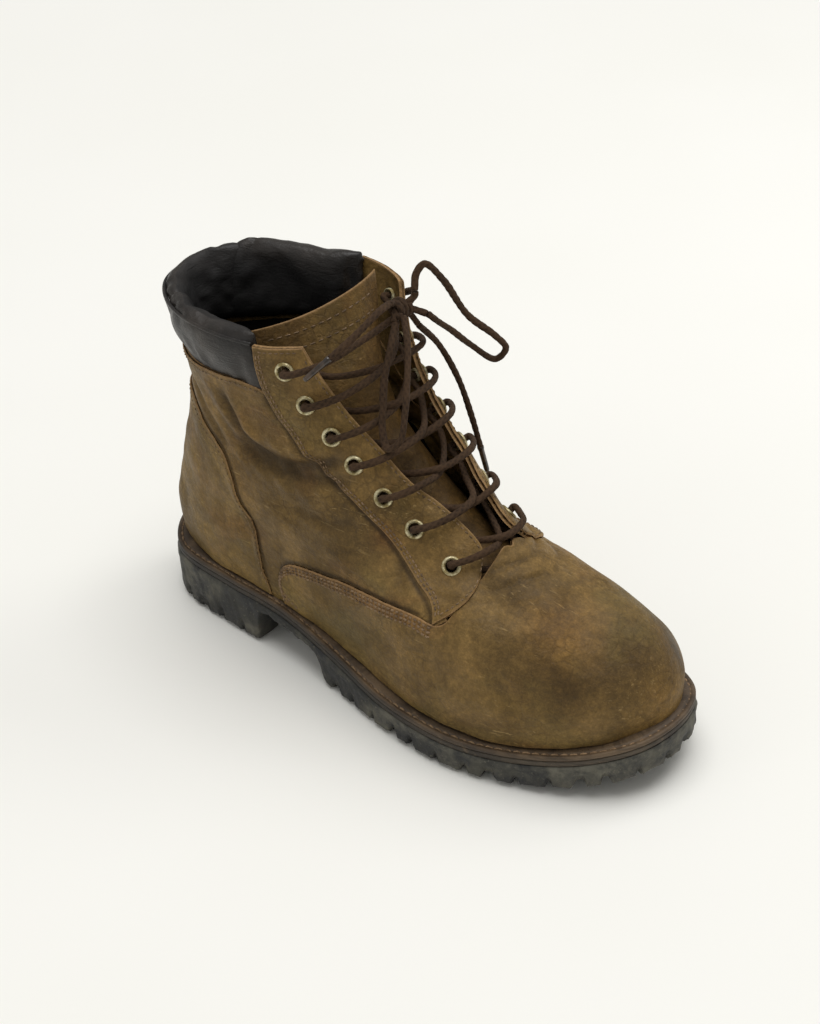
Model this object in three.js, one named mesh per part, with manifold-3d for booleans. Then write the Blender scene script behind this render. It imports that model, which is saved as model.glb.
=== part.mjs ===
// Steel toe work boot, right foot: welted rubber sole, leather upper, padded collar, seven-eyelet lacing.
// Millimetres, +Z up, +X towards the toe, +Y towards the inner (medial) side of the foot.
// The origin is on the ground under the middle of the heel.
import * as THREE from "three";
import { mergeVertices } from "three/addons/utils/BufferGeometryUtils.js";
import Module from "manifold-3d";

const wasm = await Module();
wasm.setup();
const { clamp, lerp, smoothstep } = THREE.MathUtils;

// ---------------------------------------------------------------- driving dimensions
const GAP = 0.35; // clearance left between neighbouring pieces
const HEEL_HEIGHT = 27; // ground to the underside of the midsole at the heel
const BALL_HEIGHT = 14; // the same under the ball of the foot
const TOE_SPRING = 15.5; // extra height of that underside at the toe tip
const SPRING_START = 180; // where the sole starts to rise towards the toe
const SOLE_TIP = 267;
const HEEL_BREAST = 36; // front face of the heel block
const MIDSOLE = 3; // thicknesses of the sole unit's layers
const WELT = 2.3;
const INSOLE_BOARD = 2;
const FOOTBED = 4;
const WELT_TOP = 2 * GAP + MIDSOLE + WELT;
const LEATHER = 2.2; // upper leather thickness
const OVERLAY = 1.5; // how far the eyestays stand proud of the quarters
const STEEL = 1.6; // toe cap
const COUNTER = 1.4; // heel counter board
const STITCH_MARGIN = 1.7; // from the sole's edge to the welt's stitch row
const STITCH_THREAD = 0.45; // thread radius
const LINING = 1;
const WELT_WIDTH = 14;
const SHANK = { rear: 5, front: 122, halfWidth: 9, thickness: 1.4 };
const THROAT = 173; // front end of the lacing opening
const TOE_CAP_COLUMNS = [12, 20]; // the steel toe cap's share of the vamp's grid
const TOE_CAP_ROWS = 8;
const EYELET_BORE = 2.9; // inner radius
const EYELET_BARREL = 3.5; // outer radius of the barrel
const EYELET_FLANGE = 4.7;
const LACE = 1.8; // lace radius
const LACE_SIDES = 6;

// Outer edge of the sole seen from above, heel first, then the medial side, the toe and the lateral side.
const SOLE_OUTLINE = [
  [-44, 0], [-33, 24], [-2, 38], [35, 35], [75, 31], [115, 37], [160, 50], [200, 53], [238, 41],
  [260, 23], [266, 2], [260, -21], [241, -39], [214, -51], [174, -60], [134, -57], [95, -48],
  [57, -41], [17, -38], [-26, -29],
];

// Front line of the upper from the toe over the instep to the collar: x, z, y.
const RIDGE = [
  [261, 34, 2], [261, 46, 2], [257, 58, 2], [247, 69, 2], [232, 76.5, 2], [212, 81, 1],
  [192, 85.5, 0], [174, 93.5, 0], [157, 105, 0], [140, 118, 1], [124, 131, 3], [110, 145, 5],
  [99, 159, 8], [90, 174, 11], [83, 190, 14],
];

// Back line of the upper: z, x.
const BACK = [
  [33, -40], [50, -41], [66, -38.5], [94, -31], [119, -24], [135, -20.5], [151, -23],
  [166, -28], [180, -32], [190, -31],
];

// Half widths at these shares of the length from back to front, for a few heights.
const SHARES = [0.03, 0.15, 0.32, 0.5, 0.66, 0.81, 0.94];
const LATERAL_WIDTHS = [
  [34, 18, 33, 36.5, 44.5, 54, 50, 30],
  [52, 19, 34.5, 39, 46, 55.5, 51.5, 33],
  [72, 17, 33, 38.5, 44, 48.5, 43.5, 27],
  [92, 15, 30.5, 38, 41, 40.5, 33.5, 20],
  [118, 13, 27, 35, 36.5, 34, 29.5, 18],
  [150, 13, 26, 35, 37.5, 35.5, 29.5, 18],
  [190, 13, 26, 34, 37.5, 36.5, 32, 20],
];
const MEDIAL_WIDTHS = [
  [34, 18, 32, 27.5, 34, 46, 47, 33],
  [52, 19, 34, 31, 37, 47.5, 47, 34],
  [72, 17, 33, 34, 36.5, 39, 35, 24],
  [92, 15, 31, 35, 35.5, 33, 26.5, 15.5],
  [118, 13, 28, 34.5, 37, 36.5, 32, 22],
  [150, 13, 27, 36, 40, 41, 38, 29],
  [190, 17, 33, 42, 48, 51, 51, 43],
];

// Pattern lines of the upper as x, z in side view.
const POCKET_FOOT = 45; // where the heel pocket's seam meets the welt
const POCKET_SEAM = [[42, 62], [27, 99], [2, 121]]; // from there up to the pocket's top
const POCKET_TOP = 129; // its height at the back
const COLLAR_EDGE = [[-22, 152], [-6, 153], [20, 157], [40, 159], [55, 156]]; // back to front
const WING = [[60, 50], [78, 69], [107, 75], [150, 73]]; // top edge of the vamp wing, back to front
const EYESTAY_REAR = [
  [159, 73], [147, 84], [130, 95], [105, 112], [82, 126], [67, 141], [56, 157],
];
const EYESTAY_FRONT = [
  [168, 90], [158, 101], [141, 113], [124, 124], [108, 138], [95, 151], [84, 165],
];
const EYESTAY_TOP_LATERAL = [[50, 182], [73, 184]]; // its rear and front corner
const EYESTAY_TOP_MEDIAL = [[47, 189], [75, 186]];
const EYELETS_LATERAL = [
  [66, 172], [76, 156], [89, 142], [101, 130], [117, 117], [134, 105], [155, 92],
];
const EYELETS_MEDIAL = [
  [68, 176], [80, 159], [92, 145], [105, 132], [120, 119], [136, 106], [152, 92],
];

// Centre line of the tongue, from the throat up: x, z; and its half widths.
const TONGUE_LINE = [[171, 83], [150, 94], [130, 108], [112, 124], [96, 142], [80, 164], [63, 190]];
const TONGUE_LAYERS = { tongue: [0, 1.6], tongue_padding: [2, 5], tongue_lining: [5.4, 6.2] };

// The bow, tied in front of the top of the tongue.
const KNOT = [94, 20, 189];
const LOOP_MEDIAL = [
  [97, 28, 196], [96, 31, 203], [98, 35, 207], [103, 42, 197], [109, 53, 174], [119, 61, 162],
  [123, 64, 155],
  [118, 62, 148], [110, 53, 158], [106, 43, 170], [105, 35, 178], [103, 30, 184],
];
const LOOP_LATERAL = [
  [98, 12, 187], [103, 1, 180], [105, -7, 169], [108, -13, 158], [111, -18, 147], [116, -21, 141],
  [122, -19, 146],
  [121, -13, 158], [116, -4, 170], [109, 6, 181], [101, 14, 190],
];
const TAIL_MEDIAL = [[97, 30, 176], [99, 42, 160], [106, 47, 141], [111, 51, 117], [115, 52, 100]];
const TAIL_LATERAL = [
  [95, 11, 196], [98, -1, 198], [97, -13, 194], [94, -22, 189], [90, -29, 184],
];
const AGLET_LENGTH = 14;
// The lace's own way from the knot to the top eyelet of each side.
const LACE_LATERAL = [[92, 10.5, 184], [91, -8, 183], [86, -27, 180], [76, -37, 176]];
const LACE_MEDIAL = [[91, 29.5, 186], [87, 39, 184], [80, 48, 181]];

// ---------------------------------------------------------------- materials
const material = (color, roughness, metalness = 0) =>
  new THREE.MeshStandardMaterial({ color, roughness, metalness });
const MATERIALS = {
  leather: material(0x7a5a30, 0.75),
  collar: material(0x2c2624, 0.55),
  lining: material(0x4a4038, 0.95),
  rubber: material(0x24252a, 0.85),
  midsole: material(0x3f2a1a, 0.7),
  thread: material(0xa58a5c, 0.8),
  board: material(0x9a7f58, 0.9),
  cork: material(0xa87c4f, 0.95),
  foam: material(0x35322e, 0.95),
  steel: material(0x9a9ca0, 0.4, 1),
  brass: material(0xc9b98a, 0.4, 0.9),
  lace: material(0x3a2c22, 0.85),
  aglet: material(0x6b6258, 0.3, 0.2),
};

// ---------------------------------------------------------------- curves
// A smooth curve through rows of [x, y...], tangents taken from the neighbouring rows.
function along(rows, x) {
  const last = rows.length - 1;
  let i = 0;
  while (i < last - 1 && rows[i + 1][0] < x) i++;
  const slope = (k, c) => (rows[k + 1][c] - rows[k][c]) / (rows[k + 1][0] - rows[k][0]);
  const tangent = (k, c) => {
    if (k === 0) return slope(0, c);
    if (k === last) return slope(last - 1, c);
    return (slope(k - 1, c) + slope(k, c)) / 2;
  };
  const step = rows[i + 1][0] - rows[i][0];
  const t = clamp((x - rows[i][0]) / step, 0, 1);
  const [a, b] = [t * t * (3 - 2 * t), t * (1 - t)];
  return rows[i].slice(1).map((_, k) => {
    const c = k + 1;
    const bend = b * (1 - t) * tangent(i, c) - b * t * tangent(i + 1, c);
    return lerp(rows[i][c], rows[i + 1][c], a) + step * bend;
  });
}

const curvePoints = (points) => points.map(([x, y, z = 0]) => new THREE.Vector3(x, y, z));
const curveOf = (points, closed = false) => new THREE.CatmullRomCurve3(curvePoints(points), closed);

// The level of the midsole's underside.
function soleLevel(x) {
  const rise = clamp((x - SPRING_START) / (SOLE_TIP - SPRING_START), 0, 1);
  return BALL_HEIGHT + (HEEL_HEIGHT - BALL_HEIGHT) * (1 - smoothstep(x, 30, 150)) + TOE_SPRING * rise ** 2;
}

// ---------------------------------------------------------------- the skin of the upper
// The skin is a stack of closed level curves. v runs up the ridge from the toe (0) to the collar (1);
// u runs round each level: 0 front, 4 lateral, 8 back, 12 medial, 16 front again.
const BASE = RIDGE[0][1];
const TOP = RIDGE[RIDGE.length - 1][1];
const ridgeLength = [0];
RIDGE.forEach(([x, z], i) => {
  if (i) ridgeLength.push(ridgeLength[i - 1] + Math.hypot(x - RIDGE[i - 1][0], z - RIDGE[i - 1][1]));
});
const ridgeRows = RIDGE.map((row, i) => [ridgeLength[i] / ridgeLength.at(-1), ...row]);
const levelCache = new Map();

function levelCurve(v) {
  if (levelCache.has(v)) return levelCache.get(v);
  const [front, z, frontY] = along(ridgeRows, v);
  const [back] = along(BACK, z);
  const lateral = along(LATERAL_WIDTHS, z);
  const medial = along(MEDIAL_WIDTHS, z);
  const at = (i) => back + SHARES[i] * (front - back);
  const points = [[front, frontY]];
  for (let i = SHARES.length - 1; i >= 0; i--) points.push([at(i), -lateral[i]]);
  points.push([back, 0]);
  for (let i = 0; i < SHARES.length; i++) points.push([at(i), medial[i]]);
  levelCache.set(v, { points, z });
  return levelCache.get(v);
}

// A point of the skin. The lowest levels follow the sole instead of lying flat.
function surface(u, v) {
  const { points, z } = levelCurve(v);
  const n = points.length;
  const whole = Math.floor(u);
  const t = u - whole;
  const [a, b, c, d] = [-1, 0, 1, 2].map((k) => points[(((whole + k) % n) + n) % n]);
  const [x, y] = [0, 1].map((k) => {
    const square = 2 * a[k] - 5 * b[k] + 4 * c[k] - d[k];
    const cube = 3 * (b[k] - c[k]) + d[k] - a[k];
    return b[k] + 0.5 * t * (c[k] - a[k] + t * (square + t * cube));
  });
  const follow = 1 - smoothstep(z, BASE, BASE + 50);
  return new THREE.Vector3(x, y, z + (soleLevel(x) + WELT_TOP + GAP - BASE) * follow);
}

function normalAt(u, v) {
  const [du, dv] = [0.05, 0.01];
  const round = surface(u + du, v).sub(surface(u - du, v));
  const up = surface(u, Math.min(v + dv, 1)).sub(surface(u, Math.max(v - dv, 0)));
  return up.cross(round).normalize();
}

// A point at a depth under the skin; a negative depth stands proud.
const skin = (u, v, depth) => surface(u, v).addScaledVector(normalAt(u, v), -depth);

function bisect(low, high, isLow) {
  for (let i = 0; i < 40; i++) {
    const middle = (low + high) / 2;
    if (isLow(middle)) low = middle;
    else high = middle;
  }
  return (low + high) / 2;
}

const LATERAL = -1;
const MEDIAL = 1;

// The [u, v] of the skin at x, z in side view. u counts from 8 (back) down to 0 on the lateral side,
// and from 8 up to 16 on the medial side.
function place(side, [x, z]) {
  let nominal = z;
  let uv;
  for (let i = 0; i < 6; i++) {
    const v = bisect(0, 1, (m) => along(ridgeRows, m)[1] < nominal);
    const u = bisect(0, 8, (m) => surface(side === LATERAL ? m : 16 - m, v).x > x);
    uv = [side === LATERAL ? u : 16 - u, v];
    nominal = clamp(nominal + z - surface(...uv).z, BASE, TOP);
  }
  return uv;
}

// ---------------------------------------------------------------- solids
// A closed solid from points and triangles, turned so that its faces point outwards.
function closed(points, triangles) {
  let volume = 0;
  for (const [a, b, c] of triangles) volume += points[a].dot(points[b].clone().cross(points[c]));
  const facing = volume < 0 ? triangles.map(([a, b, c]) => [a, c, b]) : triangles;
  const geometry = new THREE.BufferGeometry().setFromPoints(points);
  geometry.setIndex(facing.flat());
  return geometry;
}

// A solid between an outer and an inner face, both given as point(s, t, depth) over the unit square.
function sheet(point, columns, rows, outer, inner) {
  const points = [];
  const index = (layer, i, j) => (layer * (columns + 1) + i) * (rows + 1) + j;
  for (const depth of [outer, inner])
    for (let i = 0; i <= columns; i++)
      for (let j = 0; j <= rows; j++) points.push(point(i / columns, j / rows, depth));
  const triangles = [];
  const quad = (a, b, c, d) => triangles.push([a, b, c], [a, c, d]);
  for (let i = 0; i < columns; i++)
    for (let j = 0; j < rows; j++) {
      quad(index(0, i, j), index(0, i + 1, j), index(0, i + 1, j + 1), index(0, i, j + 1));
      quad(index(1, i, j), index(1, i, j + 1), index(1, i + 1, j + 1), index(1, i + 1, j));
    }
  for (let i = 0; i < columns; i++) {
    quad(index(0, i, 0), index(1, i, 0), index(1, i + 1, 0), index(0, i + 1, 0));
    quad(index(0, i + 1, rows), index(1, i + 1, rows), index(1, i, rows), index(0, i, rows));
  }
  for (let j = 0; j < rows; j++) {
    quad(index(0, 0, j + 1), index(1, 0, j + 1), index(1, 0, j), index(0, 0, j));
    quad(index(0, columns, j), index(1, columns, j), index(1, columns, j + 1), index(0, columns, j + 1));
  }
  return closed(points, triangles);
}

// A solid through a row of closed rings, its two ends closed by fans.
function loft(rings) {
  const size = rings[0].length;
  const points = rings.flat();
  const triangles = [];
  for (let i = 0; i + 1 < rings.length; i++)
    for (let j = 0; j < size; j++) {
      const k = (j + 1) % size;
      const [a, b, c, d] = [i * size + j, i * size + k, (i + 1) * size + k, (i + 1) * size + j];
      triangles.push([a, b, c], [a, c, d]);
    }
  for (const [ring, turned] of [[0, true], [rings.length - 1, false]]) {
    const centre = points.length;
    const sum = rings[ring].reduce((total, p) => total.add(p), new THREE.Vector3());
    points.push(sum.divideScalar(size));
    for (let j = 0; j < size; j++) {
      const [a, b] = [ring * size + j, ring * size + ((j + 1) % size)];
      triangles.push(turned ? [centre, b, a] : [centre, a, b]);
    }
  }
  return closed(points, triangles);
}

function toSolid(geometry) {
  const bare = geometry.clone();
  bare.deleteAttribute("normal");
  bare.deleteAttribute("uv");
  const merged = mergeVertices(bare, 1e-4);
  const mesh = new wasm.Mesh({
    numProp: 3,
    vertProperties: merged.attributes.position.array,
    triVerts: new Uint32Array(merged.index.array),
  });
  return new wasm.Manifold(mesh);
}

function toGeometry(solid) {
  const { vertProperties, triVerts } = solid.getMesh();
  const geometry = new THREE.BufferGeometry();
  geometry.setAttribute("position", new THREE.BufferAttribute(vertProperties, 3));
  return geometry.setIndex(new THREE.BufferAttribute(triVerts, 1));
}

const cut = (a, b) => toGeometry(toSolid(a).subtract(toSolid(b)));
const common = (a, b) => toGeometry(toSolid(a).intersect(toSolid(b)));

// A round bar along a curve.
function bar(curve, radius, steps, sides = LACE_SIDES) {
  const ring = Array.from({ length: sides }, (_, i) => {
    const angle = (2 * Math.PI * i) / sides;
    return new THREE.Vector2(radius * Math.cos(angle), radius * Math.sin(angle));
  });
  return new THREE.ExtrudeGeometry(new THREE.Shape(ring), { steps, extrudePath: curve, bevelEnabled: false });
}

const group = new THREE.Group();

function add(name, geometry, look) {
  const piece = new THREE.Mesh(geometry, MATERIALS[look]);
  piece.name = name;
  group.add(piece);
  return piece;
}

// ---------------------------------------------------------------- sole unit
const PLAN_POINTS = 44;

// The sole's outline, moved inwards by a margin, as a prism through the whole height.
function planPrism(margin) {
  const curve = curveOf(SOLE_OUTLINE, true);
  const points = Array.from({ length: PLAN_POINTS }, (_, i) => {
    const tangent = curve.getTangentAt(i / PLAN_POINTS);
    const p = curve.getPointAt(i / PLAN_POINTS);
    return new THREE.Vector2(p.x + tangent.y * margin, p.y - tangent.x * margin);
  });
  return new THREE.ExtrudeGeometry(new THREE.Shape(points), { depth: 60, bevelEnabled: false });
}

// A slab across the whole width whose side view is given as x, z points.
function sideProfile(points, halfWidth = 80) {
  const shape = new THREE.Shape(points.map(([x, z]) => new THREE.Vector2(x, z)));
  const geometry = new THREE.ExtrudeGeometry(shape, { depth: 2 * halfWidth, bevelEnabled: false });
  return geometry.rotateX(Math.PI / 2).translate(0, halfWidth, 0);
}

const STATIONS = [-60, 30, 45, 60, 75, 90, 105, 120, 135, 150, 180, 200, 215, 230, 245, 257, 269];
const soleLine = (height, from = -60, to = 269) => {
  const inner = STATIONS.filter((x) => x > from && x < to);
  return [from, ...inner, to].map((x) => [x, soleLevel(x) + height]);
};
const band = (low, high, from, to) =>
  sideProfile([...soleLine(low, from, to), ...soleLine(high, from, to).reverse()]);
const layer = (margin, low, high, from, to) => common(planPrism(margin), band(low, high, from, to));

// The underside: heel block, arch, forefoot tread and toe spring.
const TREAD_END = 88;
const ARCH_THICKNESS = 7;
const TREAD_TOE_LIFT = 14;
const groundLevel = (x) => TREAD_TOE_LIFT * clamp((x - SPRING_START) / (SOLE_TIP - SPRING_START), 0, 1) ** 2;

function outsole() {
  const arch = [HEEL_BREAST + 5, 55, 70, TREAD_END - 8].map((x) => [x, soleLevel(x) - ARCH_THICKNESS]);
  const tread = [TREAD_END, SPRING_START, 205, 225, 245, 269].map((x) => [x, groundLevel(x)]);
  const profile = [[-60, 0], [HEEL_BREAST, 0], ...arch, ...tread, ...soleLine(0).reverse()];
  let solid = common(planPrism(0), sideProfile(profile));
  for (const groove of treadGrooves()) solid = cut(solid, groove);
  return solid;
}

// Grooves between the lugs, across the whole width.
function treadGrooves() {
  const [width, depth, pitch] = [5, 6, 17];
  const grooves = [];
  const cross = (x) => {
    const z = groundLevel(x);
    const side = [[x, z - 3], [x + width, z - 3], [x + width - 1, z + depth], [x + 1, z + depth]];
    grooves.push(sideProfile(side));
  };
  for (let x = TREAD_END + 12; x < 262; x += pitch) cross(x);
  for (const x of [-28, 13]) cross(x);
  return grooves;
}

function soleUnit() {
  const weltLow = GAP + MIDSOLE + GAP;
  add("outsole", outsole(), "rubber");
  add("midsole", layer(0.8, GAP, GAP + MIDSOLE), "midsole");
  add("welt", cut(layer(0, weltLow, WELT_TOP), planPrism(WELT_WIDTH)), "leather");
  const stitchLine = curveOf(SOLE_OUTLINE, true)
    .getSpacedPoints(48)
    .slice(0, -1)
    .map((p, i, all) => {
      const next = all[(i + 1) % all.length];
      const previous = all[(i + all.length - 1) % all.length];
      const tangent = next.clone().sub(previous).normalize();
      const [x, y] = [p.x + tangent.y * STITCH_MARGIN, p.y - tangent.x * STITCH_MARGIN];
      return [x, y, soleLevel(x) + WELT_TOP + STITCH_THREAD + GAP];
    });
  const thread = new THREE.TubeGeometry(curveOf(stitchLine, true), 72, STITCH_THREAD, 3, true);
  add("welt_stitching", thread, "thread");
  const inner = WELT_WIDTH + 2 * GAP;
  const strip = sideProfile([[-60, 0], [270, 0], [270, 60], [-60, 60]], SHANK.halfWidth);
  const shank = layer(inner, weltLow, weltLow + SHANK.thickness, SHANK.rear, SHANK.front);
  add("shank", common(shank, strip), "steel");
  add("cork_filler", layer(inner, weltLow, WELT_TOP - GAP, SHANK.front + 3, 250), "cork");
  add("insole_board", layer(inner, WELT_TOP + GAP, WELT_TOP + GAP + INSOLE_BOARD), "board");
  const footbedLow = WELT_TOP + 2 * GAP + INSOLE_BOARD;
  add("footbed", layer(inner + GAP, footbedLow, footbedLow + FOOTBED), "foam");
}

// ---------------------------------------------------------------- upper
// A patch of the skin between two lines of [u, v] points, taken pair by pair.
function ladder(low, high) {
  const [lowCurve, highCurve] = [curveOf(low), curveOf(high)];
  return (s, t, depth) => {
    const p = lowCurve.getPoint(s).lerp(highCurve.getPoint(s), t);
    return skin(p.x, p.y, depth);
  };
}

const on = (side, points) => points.map((p) => place(side, p));

// Points on the feather edge, where the upper meets the welt, or a little above it.
const FEATHER = 0.004;
const onFeather = (side, xs, v = FEATHER) =>
  xs.map((x) => {
    const u = bisect(0, 8, (m) => surface(side === LATERAL ? m : 16 - m, v).x > x);
    return [side === LATERAL ? u : 16 - u, v];
  });

// A point just beside the back centre line.
const backPoint = (side, z, seam = 0.06) => [8 + side * seam, place(side, [0, z])[1]];
const lift = (points, dx, dz) => points.map(([x, z]) => [x + dx, z + dz]);

// Lateral points count up past the front so that a line can pass from side to side over the toe.
const overToe = (lateral, front, medial) => [
  ...lateral.map(([u, v]) => [u + 16, v]),
  ...front,
  ...medial.reverse(),
];

// The vamp's grid lines run from the feather edge up to the wings and the throat. The layers under it use
// parts of the same grid, so that their facets stay parallel.
const VAMP_COLUMNS = 32;
const VAMP_ROWS = 14;

function vampPatch() {
  const low = [58.5, 64, 72, 105, 145, 190, 235];
  const high = [...WING, [163, 70], [173, 78], [175, 86]];
  const throat = bisect(0, 1, (m) => along(ridgeRows, m)[0] > THROAT);
  return ladder(
    overToe(onFeather(LATERAL, low), [[16, FEATHER]], onFeather(MEDIAL, low)),
    overToe(on(LATERAL, high), [[16, throat]], on(MEDIAL, high)),
  );
}

// A part of the vamp's grid as a piece of its own.
function vampLayer(patch, columns, rows, depth, thickness) {
  const [s0, s1] = columns.map((i) => i / VAMP_COLUMNS);
  const [t0, t1] = rows.map((j) => j / VAMP_ROWS);
  const part = (s, t, d) => patch(lerp(s0, s1, s), lerp(t0, t1, t), d);
  const rowCount = Math.ceil(rows[1]) - Math.floor(rows[0]);
  return sheet(part, columns[1] - columns[0], rowCount, depth, depth + thickness);
}

function forefoot() {
  const patch = vampPatch();
  const [first, last] = TOE_CAP_COLUMNS;
  const capDepth = LEATHER + GAP;
  const liningDepth = capDepth + STEEL + GAP;
  add("vamp", vampLayer(patch, [0, VAMP_COLUMNS], [0, VAMP_ROWS], 0, LEATHER), "leather");
  add("steel_toe_cap", vampLayer(patch, [first, last], [0, TOE_CAP_ROWS], capDepth, STEEL), "steel");
  const gasket = vampLayer(patch, [first, last], [TOE_CAP_ROWS + 0.05, TOE_CAP_ROWS + 1], capDepth, STEEL);
  add("toe_cap_gasket", gasket, "rubber");
  const lining = vampLayer(patch, [1, VAMP_COLUMNS - 1], [0, VAMP_ROWS - 1], liningDepth, LINING);
  add("vamp_lining", lining, "lining");
}

// A quarter runs from the back over the heel pocket's seam to the eyestay.
function quarter(side, name) {
  const seam = lift(POCKET_SEAM, 1.7, 1.7);
  const low = [
    backPoint(side, POCKET_TOP + 2),
    ...on(side, [seam[2], seam[1], seam[0]]),
    ...onFeather(side, [POCKET_FOOT + 2, 51.5]),
    ...on(side, lift(WING, -1.2, 3.1)),
  ];
  const edge = lift(COLLAR_EDGE, 0, -4);
  const high = [
    backPoint(side, edge[0][1]),
    ...on(side, [edge[1], edge[2], edge[3], edge[4]]),
    ...on(side, lift([5, 4, 3, 2, 0].map((i) => EYESTAY_REAR[i]), -1.8, 0.4)),
  ];
  add("quarter_" + name, sheet(ladder(low, high), 27, 6, 0, LEATHER), "leather");
}

function quarterLining(side, name) {
  const depth = LEATHER + STEEL + 4 * GAP;
  const low = [
    [8 + side * 0.1, FEATHER],
    ...onFeather(side, [-10, 25, 50]),
    ...on(side, [[58, 58], [76, 76], [105, 81], [140, 80]]),
  ];
  const high = [
    backPoint(side, 149, 0.1),
    ...on(side, [[-5, 150], [20, 153], [42, 153], [57, 142], [72, 128], [98, 111], [137, 86]]),
  ];
  add("quarter_lining_" + name, sheet(ladder(low, high), 21, 8, depth, depth + LINING), "lining");
}

function heelPieces() {
  const both = (rungs, back) => [...on(LATERAL, rungs), back, ...on(MEDIAL, rungs).reverse()];
  const foot = (xs, v) => [...onFeather(LATERAL, xs, v), [8, v], ...onFeather(MEDIAL, xs, v).reverse()];
  const top = place(LATERAL, [-10, POCKET_TOP])[1];
  const low = foot([POCKET_FOOT, 36, 18, -10, -32], FEATHER);
  const high = both([[POCKET_FOOT - 1, 44], ...POCKET_SEAM, [-14, 128]], [8, top]);
  add("heel_pocket", sheet(ladder(low, high), 22, 7, 0, LEATHER), "leather");
  const stiffTop = place(LATERAL, [-20, 92])[1];
  const stiff = both([[38, 46], [33, 60], [20, 78], [0, 88], [-20, 92]], [8, stiffTop]);
  const depth = LEATHER + 2.5 * GAP;
  const base = foot([37, 30, 15, -10, -32], 6 * FEATHER);
  add("heel_counter", sheet(ladder(base, stiff), 20, 5, depth, depth + COUNTER), "board");
}

// ---------------------------------------------------------------- collar
// A padded roll: its section is drawn as [share of the way from lower edge to top, depth].
const ROLL = [
  [0, 0], [0.45, -0.6], [0.85, 0.6], [1, 4], [1, 8.5], [0.8, 12], [0.4, 12.5], [0.05, 11.5],
  [-0.03, 6],
];
const COLLAR_RISE = [1, 4.5]; // how far it swells above the skin's top, on the lateral and medial side
const REAR_SEAM = -15; // x of the seams between the side pads and the rear pad

// low and top are the pad's lower and upper edge as rows of [u, v].
function collarPad(name, low, top, turns) {
  const edges = [low, top].map((row) => curveOf(row));
  const rings = Array.from({ length: turns + 1 }, (_, i) => {
    const [from, to] = edges.map((edge) => edge.getPoint(i / turns));
    return ROLL.map(([share, depth]) => {
      const { x: u, y: v } = from.clone().lerp(to, share);
      const point = skin(u, v, depth);
      point.z += share * lerp(...COLLAR_RISE, smoothstep(point.y, -30, 30));
      return point;
    });
  });
  add(name, loft(rings), "collar");
}

function collar() {
  const sides = [[LATERAL, "lateral", 186, 46, 38], [MEDIAL, "medial", 189, 52, 44]];
  for (const [side, name, top, lowFront, topFront] of sides) {
    const low = [[lowFront, 156], COLLAR_EDGE[3], COLLAR_EDGE[2], [0, 154], [REAR_SEAM + 0.7, 153.5]];
    const high = [topFront, topFront - 8, 18, 0, REAR_SEAM + 0.7].map((x, i) => [x, top - 0.5 * i]);
    collarPad("collar_pad_" + name, on(side, low), on(side, high), 10);
  }
  const [low, high] = [153.5, 185].map((z) => {
    const [lateral, medial] = [LATERAL, MEDIAL].map((side) => place(side, [REAR_SEAM - 0.7, z]));
    return [lateral, [8, lateral[1]], medial];
  });
  collarPad("collar_pad_rear", low, high, 9);
}

// ---------------------------------------------------------------- eyestays and eyelets
function eyestay(side, name, eyelets, top) {
  const rear = on(side, [...EYESTAY_REAR, top[0]]);
  const front = on(side, [...EYESTAY_FRONT, top[1]]);
  let solid = sheet(ladder(rear, front), 21, 3, -OVERLAY, LEATHER);
  eyelets.forEach((at, i) => {
    const [u, v] = place(side, at);
    const hole = new THREE.CylinderGeometry(EYELET_BARREL + GAP, EYELET_BARREL + GAP, 16, 10);
    const turn = new THREE.Quaternion().setFromUnitVectors(new THREE.Vector3(0, 1, 0), normalAt(u, v));
    const position = skin(u, v, 0);
    hole.applyQuaternion(turn).translate(...position.toArray());
    solid = cut(solid, hole);
    const piece = add(`eyelet_${name}_${i + 1}`, eyelet(), "brass");
    piece.quaternion.copy(turn);
    piece.position.copy(position);
  });
  add("eyestay_" + name, solid, "leather");
}

// A rolled eyelet about its own axis, flange at the top.
function eyelet() {
  const [bore, barrel, flange] = [EYELET_BORE, EYELET_BARREL, EYELET_FLANGE];
  const [foot, seat, crown] = [-LEATHER - 0.6, OVERLAY + 2 * GAP, OVERLAY + 2 * GAP + 0.8];
  const profile = [
    [bore, foot], [barrel, foot], [barrel, seat], [flange, seat], [flange - 0.4, crown],
    [bore, crown], [bore, foot],
  ];
  return new THREE.LatheGeometry(profile.map(([r, y]) => new THREE.Vector2(r, y)), 10);
}

// ---------------------------------------------------------------- tongue
function tonguePoint(s, t, depth) {
  const line = curveOf(TONGUE_LINE.map(([x, z]) => [x, 0, z]));
  const centre = line.getPoint(t);
  const tangent = line.getTangent(t);
  const normal = new THREE.Vector3(tangent.z, 0, -tangent.x);
  const half = s < 0.5 ? lerp(19, 25, t) : lerp(19, 33, t);
  const y = (2 * s - 1) * half;
  const crown = along([[0, 0.021], [0.5, 0.029], [0.8, 0.024], [1, 0.013]], t)[0];
  const twist = 0.5 * smoothstep(t, 0.6, 1);
  const point = centre.addScaledVector(normal, -crown * y * y - depth);
  return point.add(new THREE.Vector3(twist * y, y, 0.28 * y * t ** 3));
}

function tongue() {
  const looks = { tongue: "leather", tongue_padding: "foam", tongue_lining: "lining" };
  for (const [name, [outer, inner]] of Object.entries(TONGUE_LAYERS))
    add(name, sheet(tonguePoint, 10, 12, outer, inner), looks[name]);
}

// ---------------------------------------------------------------- laces
// Depths of the lace as it passes through an eyelet, from outside to inside.
const THROUGH = [-5.6, -3, 2, 5];

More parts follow.
